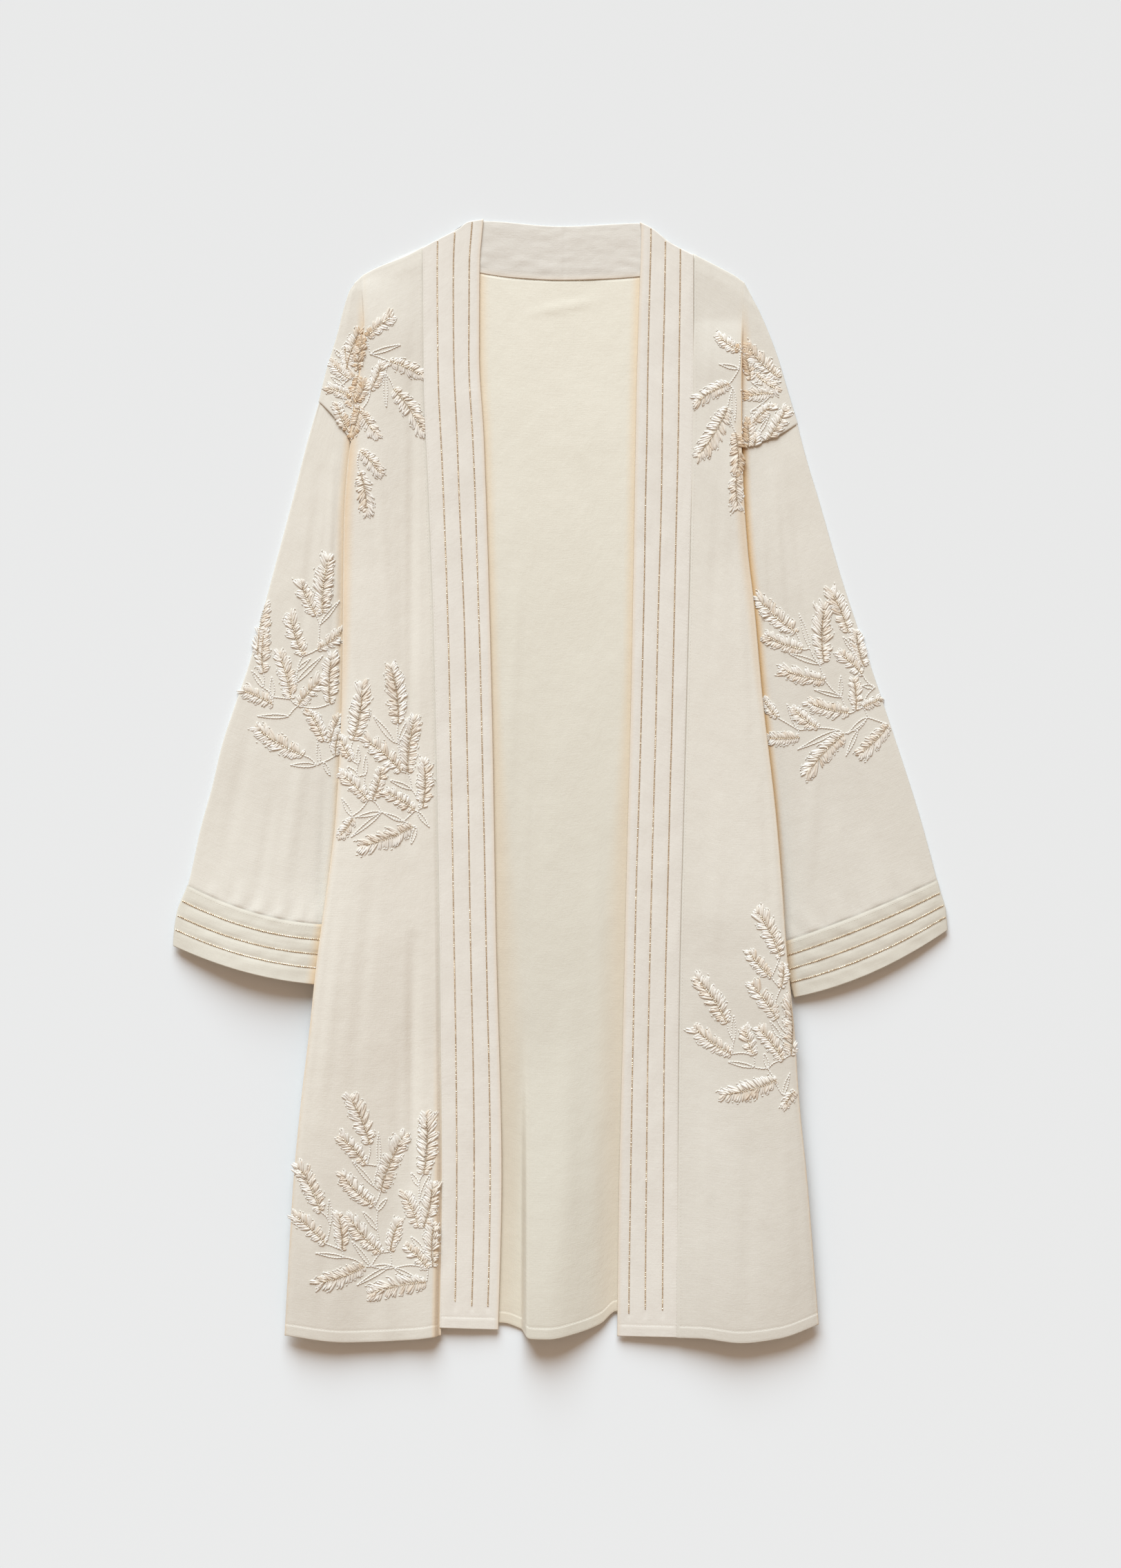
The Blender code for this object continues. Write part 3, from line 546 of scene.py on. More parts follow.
def drop_end(side, line):
    """Where a line of the shoulder drop meets the arm's outline, and its share up from the armhole."""
    share = (line - ARMPIT_LINE) / (1 - ARMPIT_LINE)
    low, high = side["outer_span"][0], side["drop"][-1][0]
    y = low + (high - low) * share
    return read(side["drop"], y) * side["sign"], y, share


def sleeve_plan(side, down, along):
    """Where the sleeve lies: down is the share from armhole to cuff edge, along from outer to inner."""
    y_outer = side["outer_span"][0] + (side["outer_span"][1] - side["outer_span"][0]) * down
    y_inner = side["inner_span"][0] + (side["inner_span"][1] - side["inner_span"][0]) * down
    x_outer = read(side["sleeve"], y_outer)
    x_inner = read(side["edge"], y_inner) - OVERHANG + 2 * SEAM - read(side["tuck"], down)
    y = y_outer + (y_inner - y_outer) * along + read(side["bow"], down) * 4 * along * (1 - along)
    return (x_outer + (x_inner - x_outer) * along) * side["sign"], y


def sleeve_lift(side, down, along):
    """A curve through the lift of the outer fold, the middle and the inner fold."""
    outer, middle, inner = (read(SLEEVE_LIFT, down, column) * side["lift"] for column in (1, 2, 3))
    return outer * (1 - along) * (1 - 2 * along) + middle * 4 * along * (1 - along) \
        + inner * along * (2 * along - 1)


def sleeve_length(side):
    return side["outer_span"][0] - side["outer_span"][1]


# Cloth shells. A patch is a list of rows of spots, each a place in mm and how much warm light is painted on
# the cloth there, in its folds and shade

def cloth_shell(name, patches, finish, wall=None):
    """Lays a grid through each patch, joins them at shared edges and gives the cloth its wall."""
    bm = bmesh.new()
    uv_layer = bm.loops.layers.uv.new("cloth")
    painted_glow_layer = bm.verts.layers.float.new("painted_glow")
    light_layer = bm.verts.layers.float.new("light")
    light = PAINTED_LIGHT_AND_SHADE.get(name, ((0, 1), (1, 1)))
    for rows in patches:
        down, over = len(rows) - 1, len(rows[0]) - 1
        runs = [0.0]
        for low, high in zip(rows, rows[1:]):
            runs.append(runs[-1] + (high[over // 2][0] - low[over // 2][0]).length)
        middle = rows[down // 2]
        steps = [0.0]
        for near, far in zip(middle, middle[1:]):
            steps.append(steps[-1] + (far[0] - near[0]).length)
        grid = bmesh.ops.create_grid(bm, x_segments=over, y_segments=down, size=.5)
        flat = {}
        for vert in grid["verts"]:
            i = round((vert.co.x + .5) * over)
            j = round((vert.co.y + .5) * down)
            place, painted_glow = rows[j][i]
            flat[vert] = (steps[i] * MM, runs[j] * MM)
            vert.co = place * MM
            # Warm light painted in folds and shade, and light and shade painted up the piece, kept on each
            # vertex
            vert[painted_glow_layer] = painted_glow
            vert[light_layer] = read(light, place.y)
        for vert, place in flat.items():
            for loop in vert.link_loops:
                loop[uv_layer].uv = place
    bmesh.ops.remove_doubles(bm, verts=bm.verts, dist=.005 * MM)
    made = new_piece(name, bm, finish)
    if wall:
        thick = made.modifiers.new("cloth wall", "SOLIDIFY")
        thick.thickness = wall * MM
        thick.offset = 0
    return made


def new_piece(name, bm, finish, smooth=True):
    bmesh.ops.recalc_face_normals(bm, faces=bm.faces)
    mesh = bpy.data.meshes.new(name)
    bm.to_mesh(mesh)
    bm.free()
    if smooth:
        mesh.shade_smooth()
    mesh.materials.append(finish)
    made = bpy.data.objects.new(name, mesh)
    bpy.context.scene.collection.objects.link(made)
    return made


# The way round a hem: line up from the hem and how far the cloth lies below its face
HEM_TURN = ((.0102, .9), (.0055, .9), (.0012, .9), (.0005, .82), (.0001, .6), (0, .3), (.0001, .08))
LINES = ladder(.0005, (.0085, .002), (.0122, .0006), (.02, .002), (ARMPIT_LINE, .0038))
UPPER_LINES = ladder(ARMPIT_LINE, (.85, .0018), (.985, .0042), (1, .003))


def hem_raise(piece, line):
    """The turned-up cloth makes the hem stand a little higher, down to its row of stitches."""
    above = line * PANEL_LENGTH - HEM_WIDTH
    raised = HEM_RAISE[piece] * near(above + HEM_STEP["start"], HEM_STEP["reach"])
    return raised - STITCH_DIP["depth"] * near(abs(above), STITCH_DIP["reach"])


def front_spot(side, share, line, below=0.0):
    x, y = front_plan(side, share, line)
    fall = SHOULDER_FALL["depth"] * ease((line - SHOULDER_FALL["start"]) / SHOULDER_FALL["span"])
    height = max(LOWEST, front_height(side, x, y) - fall)
    off_seam = abs(x) - read(side["seam"], y)
    height += hem_raise("front", line) * ease(off_seam / SEAM_REACH["hem"])
    height -= SEAM_DIP * near(off_seam, SEAM_REACH["dip"])
    height -= side["valley"] * near(off_seam, SEAM_REACH["valley"])
    height += creased("front_" + side["name"], x, y) * ease(off_seam / SEAM_REACH["creases"])
    inside = read(side["edge"], y) - abs(x)
    # Warm light painted in the shade at the front's side, and on the left in the shade beside the roll by the
    # band
    painted_glow = side["shade"] * read(SIDE_SHADE, y) * near(inside, read(SIDE_SHADE, y, 2))
    if side is LEFT:
        strip = near(off_seam - ROLL_PAINTED_GLOW["out"], ROLL_PAINTED_GLOW["width"])
        strip *= ease((ROLL_PAINTED_GLOW["start"] - y) / ROLL_PAINTED_GLOW["span"])
        painted_glow = max(painted_glow, ROLL_PAINTED_GLOW["strength"] * strip)
    return Vector((x, y, height - below)), painted_glow


def turned(spot, outward, fall, painted_glow=None):
    """A spot moved outward and down, where cloth turns over an edge."""
    place = spot[0] + outward
    place.z -= fall
    return place, spot[1] if painted_glow is None else painted_glow


def side_turn(side, spot, share):
    """The cloth's way round the side of the body, which closes at the armpit."""
    angle = math.radians(SIDE_ANGLE) * share
    radius = SIDE_TURN * ease((side["inner_span"][0] - spot[0].y) / SIDE_CLOSING)
    outward = Vector((side["sign"] * radius * math.sin(angle), 0, 0))
    # Warm light painted on the turn at the body's side, in its shade
    return turned(spot, outward, radius * (1 - math.cos(angle)), SIDE_PAINTED_GLOW)


# The cloth's way over an upper edge: outward and down
TOP_TURN = ((.4, .12), (.75, .5), (.9, 1.1))
FRONT_COLUMNS = ladder(-.012, (.012, .004), (.034, .008), (.066, .004), (.13, .012), (.9, .026),
                       (.972, .014), (1, .007))


def over_the_top(rows):
    """Rows that end in the cloth's turn over their last one."""
    return rows + [[turned(spot, Vector((0, out, 0)), fall) for spot in rows[-1]] for out, fall in TOP_TURN]


def hemmed(spot):
    """The lower rows of a panel, from under its hem up."""
    return [spot(line, below) for line, below in HEM_TURN] + [spot(line, 0.0) for line in LINES]


def front_patches(side):
    def row(line, below=0.0):
        return [front_spot(side, share, line, below) for share in FRONT_COLUMNS]

    lower = hemmed(row)
    upper = over_the_top([row(line) for line in UPPER_LINES])
    sides = [[side_turn(side, spots[-1], k / 5) for k in range(6)] for spots in lower]
    return [lower, upper, sides, over_the_top([drop_row(side, line) for line in UPPER_LINES])]


def bowed(side, point, share, part):
    """The drop's lower edge follows the bow of the armhole, less on the way up."""
    point.y += side["bow"][0][1] * (1 - share) * 4 * part * (1 - part)
    return point


def drop_row(side, line):
    """From the pleat's edge down, back under the front and out again to the arm's outline."""
    start, start_painted_glow = front_spot(side, 1, line)
    x_end, y_end, share = drop_end(side, line)
    way = Vector((x_end - start.x, y_end - start.y, 0))
    width = way.length
    way.normalize()
    rise = pleat_share(side, start.y)
    places = fold_steps(pleat_turn(side, rise), read(PLEAT_DEPTH, rise / side["pleat_end"]))
    # Warm light painted in the shade of the pleat's fold, less on its way up
    painted_warmth = FOLD_PAINTED_GLOW * ease((.95 - rise) / .5)
    row = [(start, start_painted_glow)]
    row += [(start + way * run - Vector((0, 0, fall)), painted_warmth) for run, fall in places]
    run_in, fall_in = places[-1]
    level = LOWEST + DROP_RISE["height"] * near(share, DROP_RISE["reach"])
    dip = DROP_DIP["depth"] * near((line - ARMPIT_LINE) * PANEL_LENGTH, DROP_DIP["reach"])
    for k in range(1, DROP_STEPS + 1):
        along = k / DROP_STEPS
        run = run_in + (width - run_in) * along
        point = bowed(side, start + way * run - Vector((0, 0, fall_in)), share, clamp(run / width))
        point.z -= max(0.0, point.z - level) * ease((along - .7) / .3)
        point.z -= dip * ease(along * 4)
        point.z += creased("front_" + side["name"], point.x, point.y) * math.sin(math.pi * along)
        row.append((point, painted_warmth * near(run - run_in, 5 + 9 * (1 - rise))))
    return row + [turned(row[-1], way * out, fall) for out, fall in TOP_TURN[:2]]


BACK_COLUMNS = ladder(-1, (-.62, .05), (-.3, .02), (-.17, .014), (-.112, .0042), (.3, .0145), (.62, .02),
                      (1, .05))


def back_spot(share, line, below=0.0):
    x, y = back_plan(share, line)
    height = back_height(x, y) + hem_raise("back", line)
    rim = read(side_of(x)["opening"], y) - abs(x)
    open_part = near(-rim, UNDER_BAND)
    height += max(0.0, creased("back", x, y) + .25) * open_part
    # Warm light painted in the shade beside the bands, and in the shade left of the back's fold at the hem
    spread = ease((RIM_PAINTED_GLOW["start"] - y) / RIM_PAINTED_GLOW["span"])
    painted_glow = RIM_PAINTED_GLOW["top"] - RIM_PAINTED_GLOW["less"] * spread
    painted_glow *= near(rim, RIM_PAINTED_GLOW["width"] + RIM_PAINTED_GLOW["wider"] * spread) * open_part
    painted_shade_left_of_fold = .13 * near(x - BACK_FOLD["place"] - 1, 4) * hem_fade(y, 260)
    return Vector((x, y, height - below)), max(painted_glow, painted_shade_left_of_fold * open_part)


def back_patches():
    def row(line, below=0.0):
        return [back_spot(share, line, below) for share in BACK_COLUMNS]

    upper = [row(line) for line in UPPER_LINES]
    drops = []
    for side, column in ((LEFT, 0), (RIGHT, -1)):
        drop = []
        for line, spots in zip(UPPER_LINES, upper):
            start = spots[column][0]
            x_end, y_end, share = drop_end(side, line)
            end = Vector((x_end - side["sign"] * .8, y_end - .5, start.z))
            drop.append([(bowed(side, start.lerp(end, k / 8), share, k / 8), 0.0) for k in range(9)])
        drops.append(drop)
    return [hemmed(row), upper] + drops


def rounded(distance, radius):
    """Share of a full half thickness at a distance in from a rounded edge."""
    inset = clamp(1 - distance / radius)
    return math.sqrt(max(0.0, 1 - inset * inset))


def groove(place, lines, half):
    """How near a place is to one of the stitched lines, 1 on it and 0 past half."""
    return max(near(abs(place - line), half) for line in lines)


def band_line(share, k, y):
    """A bead line's share across the band, which wanders a little on the way up."""
    return share + .012 * noise.noise(Vector((k * 7.3, y / 130, .5)))


def flat_tube(lines, top, below, spot):
    """Rows of spots up over a top face, round its outer edge and back below."""
    rows = []
    for line in lines:
        row = [spot(line, share, 1) for share in top] + [spot(line, share, -1) for share in below]
        rows.append(row + row[:1])
    return [rows]


# The waver of the bands and cuffs: height, its size across and along, and where its noise starts
BAND_WAVER = (.5, 16, 34, 9)
CUFF_WAVER = (.55, 15, 9, 4)


def wavering(waver, x, y):
    height, across, along, seed = waver
    return height * noise.noise(Vector((x / across, y / along, seed)))


def band_patches(side):
    """A band of double cloth, with grooves where its bead lines pull it in."""
    half = DOUBLE_CLOTH / 2

    def spot(line, share, way):
        end = rounded(min(max(line, 0), 1 - line) * PANEL_LENGTH, half)
        x, y = band_plan(side, share, max(line, 0))
        width = read(side["seam"], y) - read(side["opening"], y)
        from_edge = min(share, 1 - share) * width
        place = back_height(x, y) + BAND_LAYER + way * half * rounded(from_edge, half) * end
        if way > 0:
            inside = ease(from_edge / 5)
            stitched = [band_line(at, k, y) for k, at in enumerate(BAND_LINES)]
            pulled = groove(share, stitched, 3.2 / width) * ease((y - side["chain_end"] + 4) / 6)
            place += (BAND_PUFF + .8 * hem_raise("front", line) + wavering(BAND_WAVER, x, y)) * inside
            place -= CHAIN_GROOVE * pulled
        # Warm light painted in the shade at the band's inner edge
        return Vector((x, y, place)), .25 * near(share * width, 4)

    top = ladder(0, (.02, .005), (.05, .015), (.95, .025), (.98, .015), (1, .005))
    below = [1 - share for share in ladder(0, (.02, .02), (1, .16))][1:]
    lines = ladder(0, (.0012, .0003), (.009, .002), (.0125, .0006), (.02, .002), (.997, .0038), (1, .0006))
    return flat_tube([-.0004, *lines], top, below, spot)


# The wrinkles that run along the neck band, in the same order, and the place of its join
NECK_WRINKLES = ((.42, 24, 5, 2), (.252, 9, 3.4, 6))
NECK_JOIN = 4.5


def neck_patches():
    """The band behind the neck: its inner face, over its top edge and back below."""
    half = DOUBLE_CLOTH / 2

    def spot(column, share, way):
        x = column * (side_of(column)["edge"][-1][1] - OVERHANG)
        low = read(NECK_SEAM, x) + 2 * SEAM - .9
        high = read(NECK_TOP, x)
        y = low + (high - low) * share
        from_edge = min(share, 1 - share) * (high - low)
        place = half + way * half * rounded(from_edge, half) + .4 * near(y - low, 3)
        if way > 0:
            rise = .3 - .5 * near(abs(x - NECK_JOIN), 1.6)
            for wrinkle in NECK_WRINKLES:
                rise += wavering(wrinkle, x, y)
            place += rise * ease(from_edge / 5) - .3 * groove(y - low, (3.4,), 1.4)
        # Warm light painted in the shade at the band's lower edge
        return Vector((x, y, max(place, .02))), .25 * near(share * 9, 1)

    up = ladder(0, (.02, .01), (.96, .055), (1, .01))
    below = [1 - share for share in ladder(0, (1, .2))][1:]
    return flat_tube(ladder(-.622, (.622, .012)), up, below, spot)


RING_STEPS = 44
TURN_STEPS = 5


def ring_section(side, down, radius, wall, offset, relief):
    """One ring of a sleeve or cuff: outer fold, upper layer, inner fold and lower layer.

    offset moves it out from the middle of its wall, and relief shapes the upper layer.
    """
    ends = [Vector((*sleeve_plan(side, down, along), 0)) for along in (0, 1)]
    inset = radius / (ends[1] - ends[0]).length
    fullness = SLEEVE_FULLNESS * ease(down / .15)
    outward = (ends[0] - ends[1]).normalized()
    upper, lower = [], []
    for k in range(RING_STEPS + 1):
        along = inset + (1 - 2 * inset) * k / RING_STEPS
        x, y = sleeve_plan(side, down, along)
        base = wall / 2 + sleeve_lift(side, down, along)
        full = fullness * math.sin(math.pi * along) ** 1.3
        rise = relief(x, y, along) if offset > 0 else 0
        upper.append(Vector((x, y, base + 2 * radius + full + offset + rise)))
        if k % 2 == 0:
            lower.append(Vector((x, y, base - offset)))

    def turn(low, way):
        centre = low + Vector((0, 0, radius + offset))
        angles = [math.pi * (k / TURN_STEPS - .5) for k in range(1, TURN_STEPS)]
        return [centre + way * (radius + offset) * math.cos(angle)
                + Vector((0, 0, (radius + offset) * math.sin(angle))) for angle in angles]

    return lower[::-1] + turn(lower[0], outward) + upper + turn(lower[-1], -outward)[::-1]


def ring_of_spots(side, places, painted_warmth):
    """A closed ring of spots. The last argument gives the warm light painted on a place in the shade of the
    body's side, by its distance from that side.
    """
    spots = [(place, painted_warmth(place, abs(place.x) - read(side["edge"], place.y) + 1)) for place in places]
    return spots + spots[:1]


def puckered(side, along, width, from_cuff):
    """Small gathers above the cuff, each with a reach of its own, which end short of the seam."""
    rise = 0.0
    for place, half, height in PUCKERS[side["name"]]:
        off = abs(along - place) * width / half
        if off < 1:
            reach = PUCKER_REACH * (.7 + .6 * abs(math.sin(place * 40)))
            fade = near(from_cuff, reach) * ease((from_cuff + 1.5) / 6)
            rise += PUCKER_DEPTH * height * near(off, 1) * fade
    return rise


def sleeve_patches(side):
    span = sleeve_length(side)
    first, last = -.9 / span, side["cuff"] + .9 / span
    outer_rise, inner_rise = ARMHOLE_RISE
    rows = []
    for down in ladder(first, (first + .009, .0016), (.86, .0088), (last - .006, .005), (last, .0013)):
        from_cuff = (last - down) * span
        from_top = (down - first) * span
        width = abs(sleeve_plan(side, down, 1)[0] - sleeve_plan(side, down, 0)[0])

        def relief(x, y, along):
            rise = creased("sleeve_" + side["name"], x, y) * ease(from_top / 20)
            rise *= ease(min(along, 1 - along) * width / 9)
            rise += puckered(side, along, width, from_cuff) - .4 * near(from_cuff, 3)
            return rise + (outer_rise + (inner_rise - outer_rise) * along) * near(from_top, 30)

        def painted_warmth(place, beside):
            # Warm light painted on the sleeve in the shade of the body's edge, less towards the cuff
            shade = near(beside, 4 + 7 * ease((200 + place.y) / 300))
            return side["glow"] * shade * ease((place.y + 190) / 120)

        ring = ring_section(side, down, TUBE_RADIUS, CLOTH, .001, relief)
        rows.append(ring_of_spots(side, ring, painted_warmth))
    return [rows]


def cuff_patches(side):
    """Down the outside, round the end and back up the inside."""
    span = sleeve_length(side)
    half = DOUBLE_CLOTH / 2
    first = side["cuff"] + SEAM / 2 / span
    outer = ladder(first, (first + .004, .001), (.994, .0032), (1, .0009))
    rows = []
    for down, way in [(down, 1) for down in outer] + [(down, -1) for down in outer[::-2]]:
        share = (down - first) / (1 - first)
        seam_dip = .5 * near((down - first) * span, 2.4)

        def relief(x, y, along):
            rise = BAND_PUFF - .55 * groove(share, CUFF_LINES, .075) + wavering(CUFF_WAVER, x, y)
            return rise * ease(min(along, 1 - along) * 14) - seam_dip

        offset = half * way * rounded((1 - down) * span, half)
        ring = ring_section(side, down, CUFF_RADIUS, DOUBLE_CLOTH, offset, relief)
        # Warm light painted on the cuff in the shade of the body's edge
        rows.append(ring_of_spots(side, ring, lambda place, beside: .8 * near(beside, 12)))
    return [rows]


# Small repeated things: beads and stitches, laid on a piece

class Ground:
    """The upper face of a piece, to lay small things on."""

    def __init__(self, piece, tucked):
        self.tree = BVHTree.FromObject(piece, bpy.context.evaluated_depsgraph_get())
        self.tucked = tucked

    def at(self, x, y):
        """Place and normal at x and y in mm, or None past the edge and where a tucked piece is covered."""
        if self.tucked and abs(x) < read(side_of(x)["edge"], y) + UNDER_EDGE:
            return None
        hit, normal, _, _ = self.tree.ray_cast(Vector((x * MM, y * MM, .2)), Vector((0, 0, -1)))
        if hit is None:
            return None
        return hit / MM, normal if normal.z > 0 else -normal


def lay_on(spot, heading, lift, size, tilt=0.0):
    """Matrix that puts a unit shape, long in Z, along a heading on the cloth, in metres."""
    place, normal = spot
    along = (heading - normal * heading.dot(normal)).normalized()
    along = (along + normal * tilt).normalized()
    sideways = normal.cross(along).normalized()
    up = along.cross(sideways)
    turn = Matrix((sideways, up, along)).transposed().to_4x4()
    centre = (place + normal * lift) * MM
    stretch = Matrix.Diagonal((size[0] / 2 * MM, size[1] / 2 * MM, size[2] / 2 * MM, 1))
    return Matrix.Translation(centre) @ turn @ stretch


class Heap:
    """Many small shapes in one mesh, made in batches because each call on a large mesh is slow."""

    def __init__(self):
        self.whole = bmesh.new()
        self.start_batch()

    def start_batch(self):
        self.batch = bmesh.new()
        self.batch.loops.layers.uv.new("thread")
        self.tone = self.batch.verts.layers.float.new("tone")
        self.count = 0

    def add(self, shape, tone, **sizes):
        for vert in shape(self.batch, radius=1, calc_uvs=True, **sizes)["verts"]:
            vert[self.tone] = tone
        self.count += 1
        if self.count == BATCH:
            self.close_batch()
            self.start_batch()

    def close_batch(self):
        mesh = bpy.data.meshes.new("batch")
        self.batch.to_mesh(mesh)
        self.batch.free()
        self.whole.from_mesh(mesh)
        bpy.data.meshes.remove(mesh)

    def bead(self, spot, heading, length, width, lift, tilt=0.0):
        self.add(bmesh.ops.create_icosphere, 0, subdivisions=1,
                 matrix=lay_on(spot, heading, lift, (width, width * .85, length), tilt))

    def stitch(self, spot, heading, size, lift, tone=0, segments=(5, 4), tilt=0.0):
        self.add(bmesh.ops.create_uvsphere, tone, u_segments=segments[0], v_segments=segments[1],
                 matrix=lay_on(spot, heading, lift, size, tilt))

    def piece(self, name, finish, smooth=True):
        self.close_batch()
        return new_piece(name, self.whole, finish, smooth)


def paced(points, pitch):
    """Places every pitch along a line of points, and the way it runs there."""
    carried = pitch / 2
    for start, end in zip(points, points[1:]):
        way = end - start
        length = way.length
        if length < 1e-9:
            continue
        while carried <= length:
            yield start + way * (carried / length), way / length
            carried += pitch
        carried -= length


def run_of_stitches(heap, ground, points, pitch=3.0, length=2.0, width=.34):
    for place, way in paced(points, pitch):
        spot = ground.at(place.x, place.y)
        if spot:
            heap.stitch(spot, way.to_3d(), (width, width * .8, length), .04)


def run_of_beads(heap, ground, points, dice):
    """A line of small bright beads, each turned a little its own way."""
    for place, way in paced(points, BEAD_PITCH):
        spot = ground.at(place.x, place.y)
        if spot:
            skew = Vector((-way.y, way.x)) * dice.uniform(-.45, .45)
            heap.bead(spot, (way + skew).to_3d(), dice.uniform(1.7, 2.2), dice.uniform(1.3, 1.65), .45,
                      dice.uniform(-.25, .25))


# Embroidery

def along_leaf(leaf, share):
    start, end = Vector(leaf[:2]), Vector(leaf[2:])
    way = end - start
    sideways = Vector((-way.y, way.x)).normalized()
    bend = LEAF_BEND * way.length * (1 if (leaf[0] + leaf[1]) % 2 else -1)
    return start + way * share + sideways * bend * 4 * share * (1 - share), way.normalized()


def crease_shade(x, y):
    """1 in the fold between the shoulder's drop and the front, where shade is painted on the thread as a tan
    tone.
    """
    beside = abs(abs(x) - read(side_of(x)["edge"], y) - 1)
    return near(beside - 4, 11) * ease((y - 240) / 60)


def broad_leaf(heap, ground, leaf, dice):
    """Plump loops of thread leaning out from both sides of a midrib, with shade painted on one side as a
    darker tone.
    """
    length = (Vector(leaf[2:]) - Vector(leaf[:2])).length
    half = LEAF_BREADTH + LEAF_SLIMNESS * length
    count = max(5, round(length / LOOP_PITCH))
    bright_side = 1 if dice.random() < .5 else -1
    for way in (1, -1):
        for k in range(count + 1):
            share = clamp((k + dice.uniform(.15, .6)) / count)
            root, heading = along_leaf(leaf, share * .96)
            lean = math.radians(LOOP_LEAN - LEAN_LESS * share + dice.uniform(-LEAN_SPREAD, LEAN_SPREAD)) * way
            direction = heading.copy()
            direction.rotate(Matrix.Rotation(lean, 2))
            reach = half * read(LEAF_FORM, share) / max(LEAST_LEAN, abs(math.sin(lean)))
            reach *= dice.uniform(.86, 1.12)
            centre = root + direction * reach * LOOP_MIDDLE
            spot = ground.at(centre.x, centre.y)
            if spot is None:
                continue
            width = LOOP_PITCH * dice.uniform(.72, .98)
            # Shade painted on one side of each leaf as a darker tone
            tone = dice.uniform(0, .35) + (0 if way == bright_side else SHADED_SIDE)
            tone = max(tone, crease_shade(centre.x, centre.y) * dice.uniform(.9, 1.5))
            loop_of_thread(heap, spot, direction, width, reach, tone, dice)
            if dice.random() < RIM_SHARE:
                rim = root + direction * reach * dice.uniform(.95, 1.15)
                rim_stitch(heap, ground, rim, heading, direction, dice)


def loop_of_thread(heap, spot, direction, width, reach, tone, dice):
    """Two strands of thread side by side."""
    place, normal = spot
    across = Vector((-direction.y, direction.x, 0)) * width * .3
    for hand in (1, -1):
        strand_way = direction.to_3d() + across * hand * dice.uniform(-.02, .16)
        size = (width, dice.uniform(.7, 1.15), reach * dice.uniform(.9, 1.15))
        heap.stitch((place + across * hand, normal), strand_way, size, .25,
                    tone + dice.uniform(-.1, .2), (6, 5), dice.uniform(-.12, .12))


def rim_stitch(heap, ground, place, heading, direction, dice):
    """A small white stitch at a loop's outer end."""
    spot = ground.at(place.x, place.y)
    if spot:
        skew = heading + direction * dice.uniform(-.5, .5)
        heap.stitch(spot, skew.to_3d(), (1.1, .8, dice.uniform(2, 3)), .35, WHITE, (5, 4))


def leaf_beads(heap, ground, leaf, dice):
    """Fine metal beads down a leaf's midrib."""
    length = (Vector(leaf[2:]) - Vector(leaf[:2])).length
    count = round(length * .9 / LEAF_BEAD_PITCH)
    for k in range(count):
        place, heading = along_leaf(leaf, (k + .5) / count * .9)
        spot = ground.at(place.x, place.y)
        if spot:
            heap.bead(spot, heading.to_3d(), dice.uniform(1.7, 2.1), dice.uniform(.9, 1.15), 1.0,
                      dice.uniform(-.3, .3))


def thread_line(heap, ground, points, dice, width=1.4):
    """Chain stitches of white thread along a line."""
    for place, way in paced(points, STITCH_PITCH):
        spot = ground.at(place.x, place.y)
        if spot:
            skew = Vector((-way.y, way.x)) * dice.uniform(-.3, .3)
            heap.stitch(spot, (way + skew).to_3d(), (width, width * .75, dice.uniform(2.6, 3.2)), .3,
                        WHITE + dice.uniform(0, .12), (6, 4))


def thin_leaf(heap, ground, leaf, dice):
    """A narrow leaf drawn as two lines of stitches that meet at its tip."""
    start, end = Vector(leaf[:2]), Vector(leaf[2:])
    way = end - start
    sideways = Vector((-way.y, way.x)).normalized()
    for hand in (1, -1):
        bulge = THIN_BULGE * hand * dice.uniform(.8, 1.15)
        rounds = [math.sin(math.pi * (k / 8) ** .8) for k in range(9)]
        points = [start + way * k / 8 + sideways * bulge * out for k, out in enumerate(rounds)]
        thread_line(heap, ground, points, dice)


def stem_links(leaves):
    """The shortest stems that join the starts of all the leaves."""
    starts = [Vector(leaf[:2]) for leaf in leaves]
    joined, waiting = [starts[0]], starts[1:]
    while waiting:
        pairs = [(a, b) for a in joined for b in waiting]
        start, end = min(pairs, key=lambda pair: (pair[1] - pair[0]).length)
        yield start, end
        joined.append(end)
        waiting.remove(end)


def embroider(spray, ground, dice, leaf_heap):
    """One spray of stems and leaves, with the beads of its broad leaves in a heap of their own."""
    heap = Heap()
    for start, end in stem_links(spray["broad"] + spray["thin"]):
        if (end - start).length < STEM_REACH:
            bend = Vector((start.y - end.y, end.x - start.x)) * dice.uniform(-.12, .12)
            points = [start.lerp(end, k / 6) + bend * math.sin(math.pi * k / 6) for k in range(7)]
            thread_line(heap, ground, points, dice)
    for leaf in spray["thin"]:
        thin_leaf(heap, ground, leaf, dice)
    for leaf in spray["broad"]:
        broad_leaf(heap, ground, leaf, dice)
        leaf_beads(leaf_heap, ground, leaf, dice)
    return heap


# Materials

def node_group(name, inputs, outputs):
    group = bpy.data.node_groups.new(name, "ShaderNodeTree")
    for label, value in inputs:
        socket = group.interface.new_socket(label, in_out="INPUT", socket_type="NodeSocketFloat")
        socket.default_value = value
    for label in outputs:
        group.interface.new_socket(label, in_out="OUTPUT", socket_type="NodeSocketFloat")
    return group, group.nodes.new("NodeGroupInput"), group.nodes.new("NodeGroupOutput")


def feed(tree, socket, value):
    """Joins an input to an output, or gives it a number, a stretch or a colour."""
    if isinstance(value, bpy.types.NodeSocket):
        tree.links.new(value, socket)
    elif value is not None:
        socket.default_value = (*value, 1) if socket.type == "RGBA" else value


def fed_node(tree, kind, **inputs):
    made = tree.nodes.new("ShaderNode" + kind)
    for label, value in inputs.items():
        feed(tree, made.inputs[label], value)
    return made


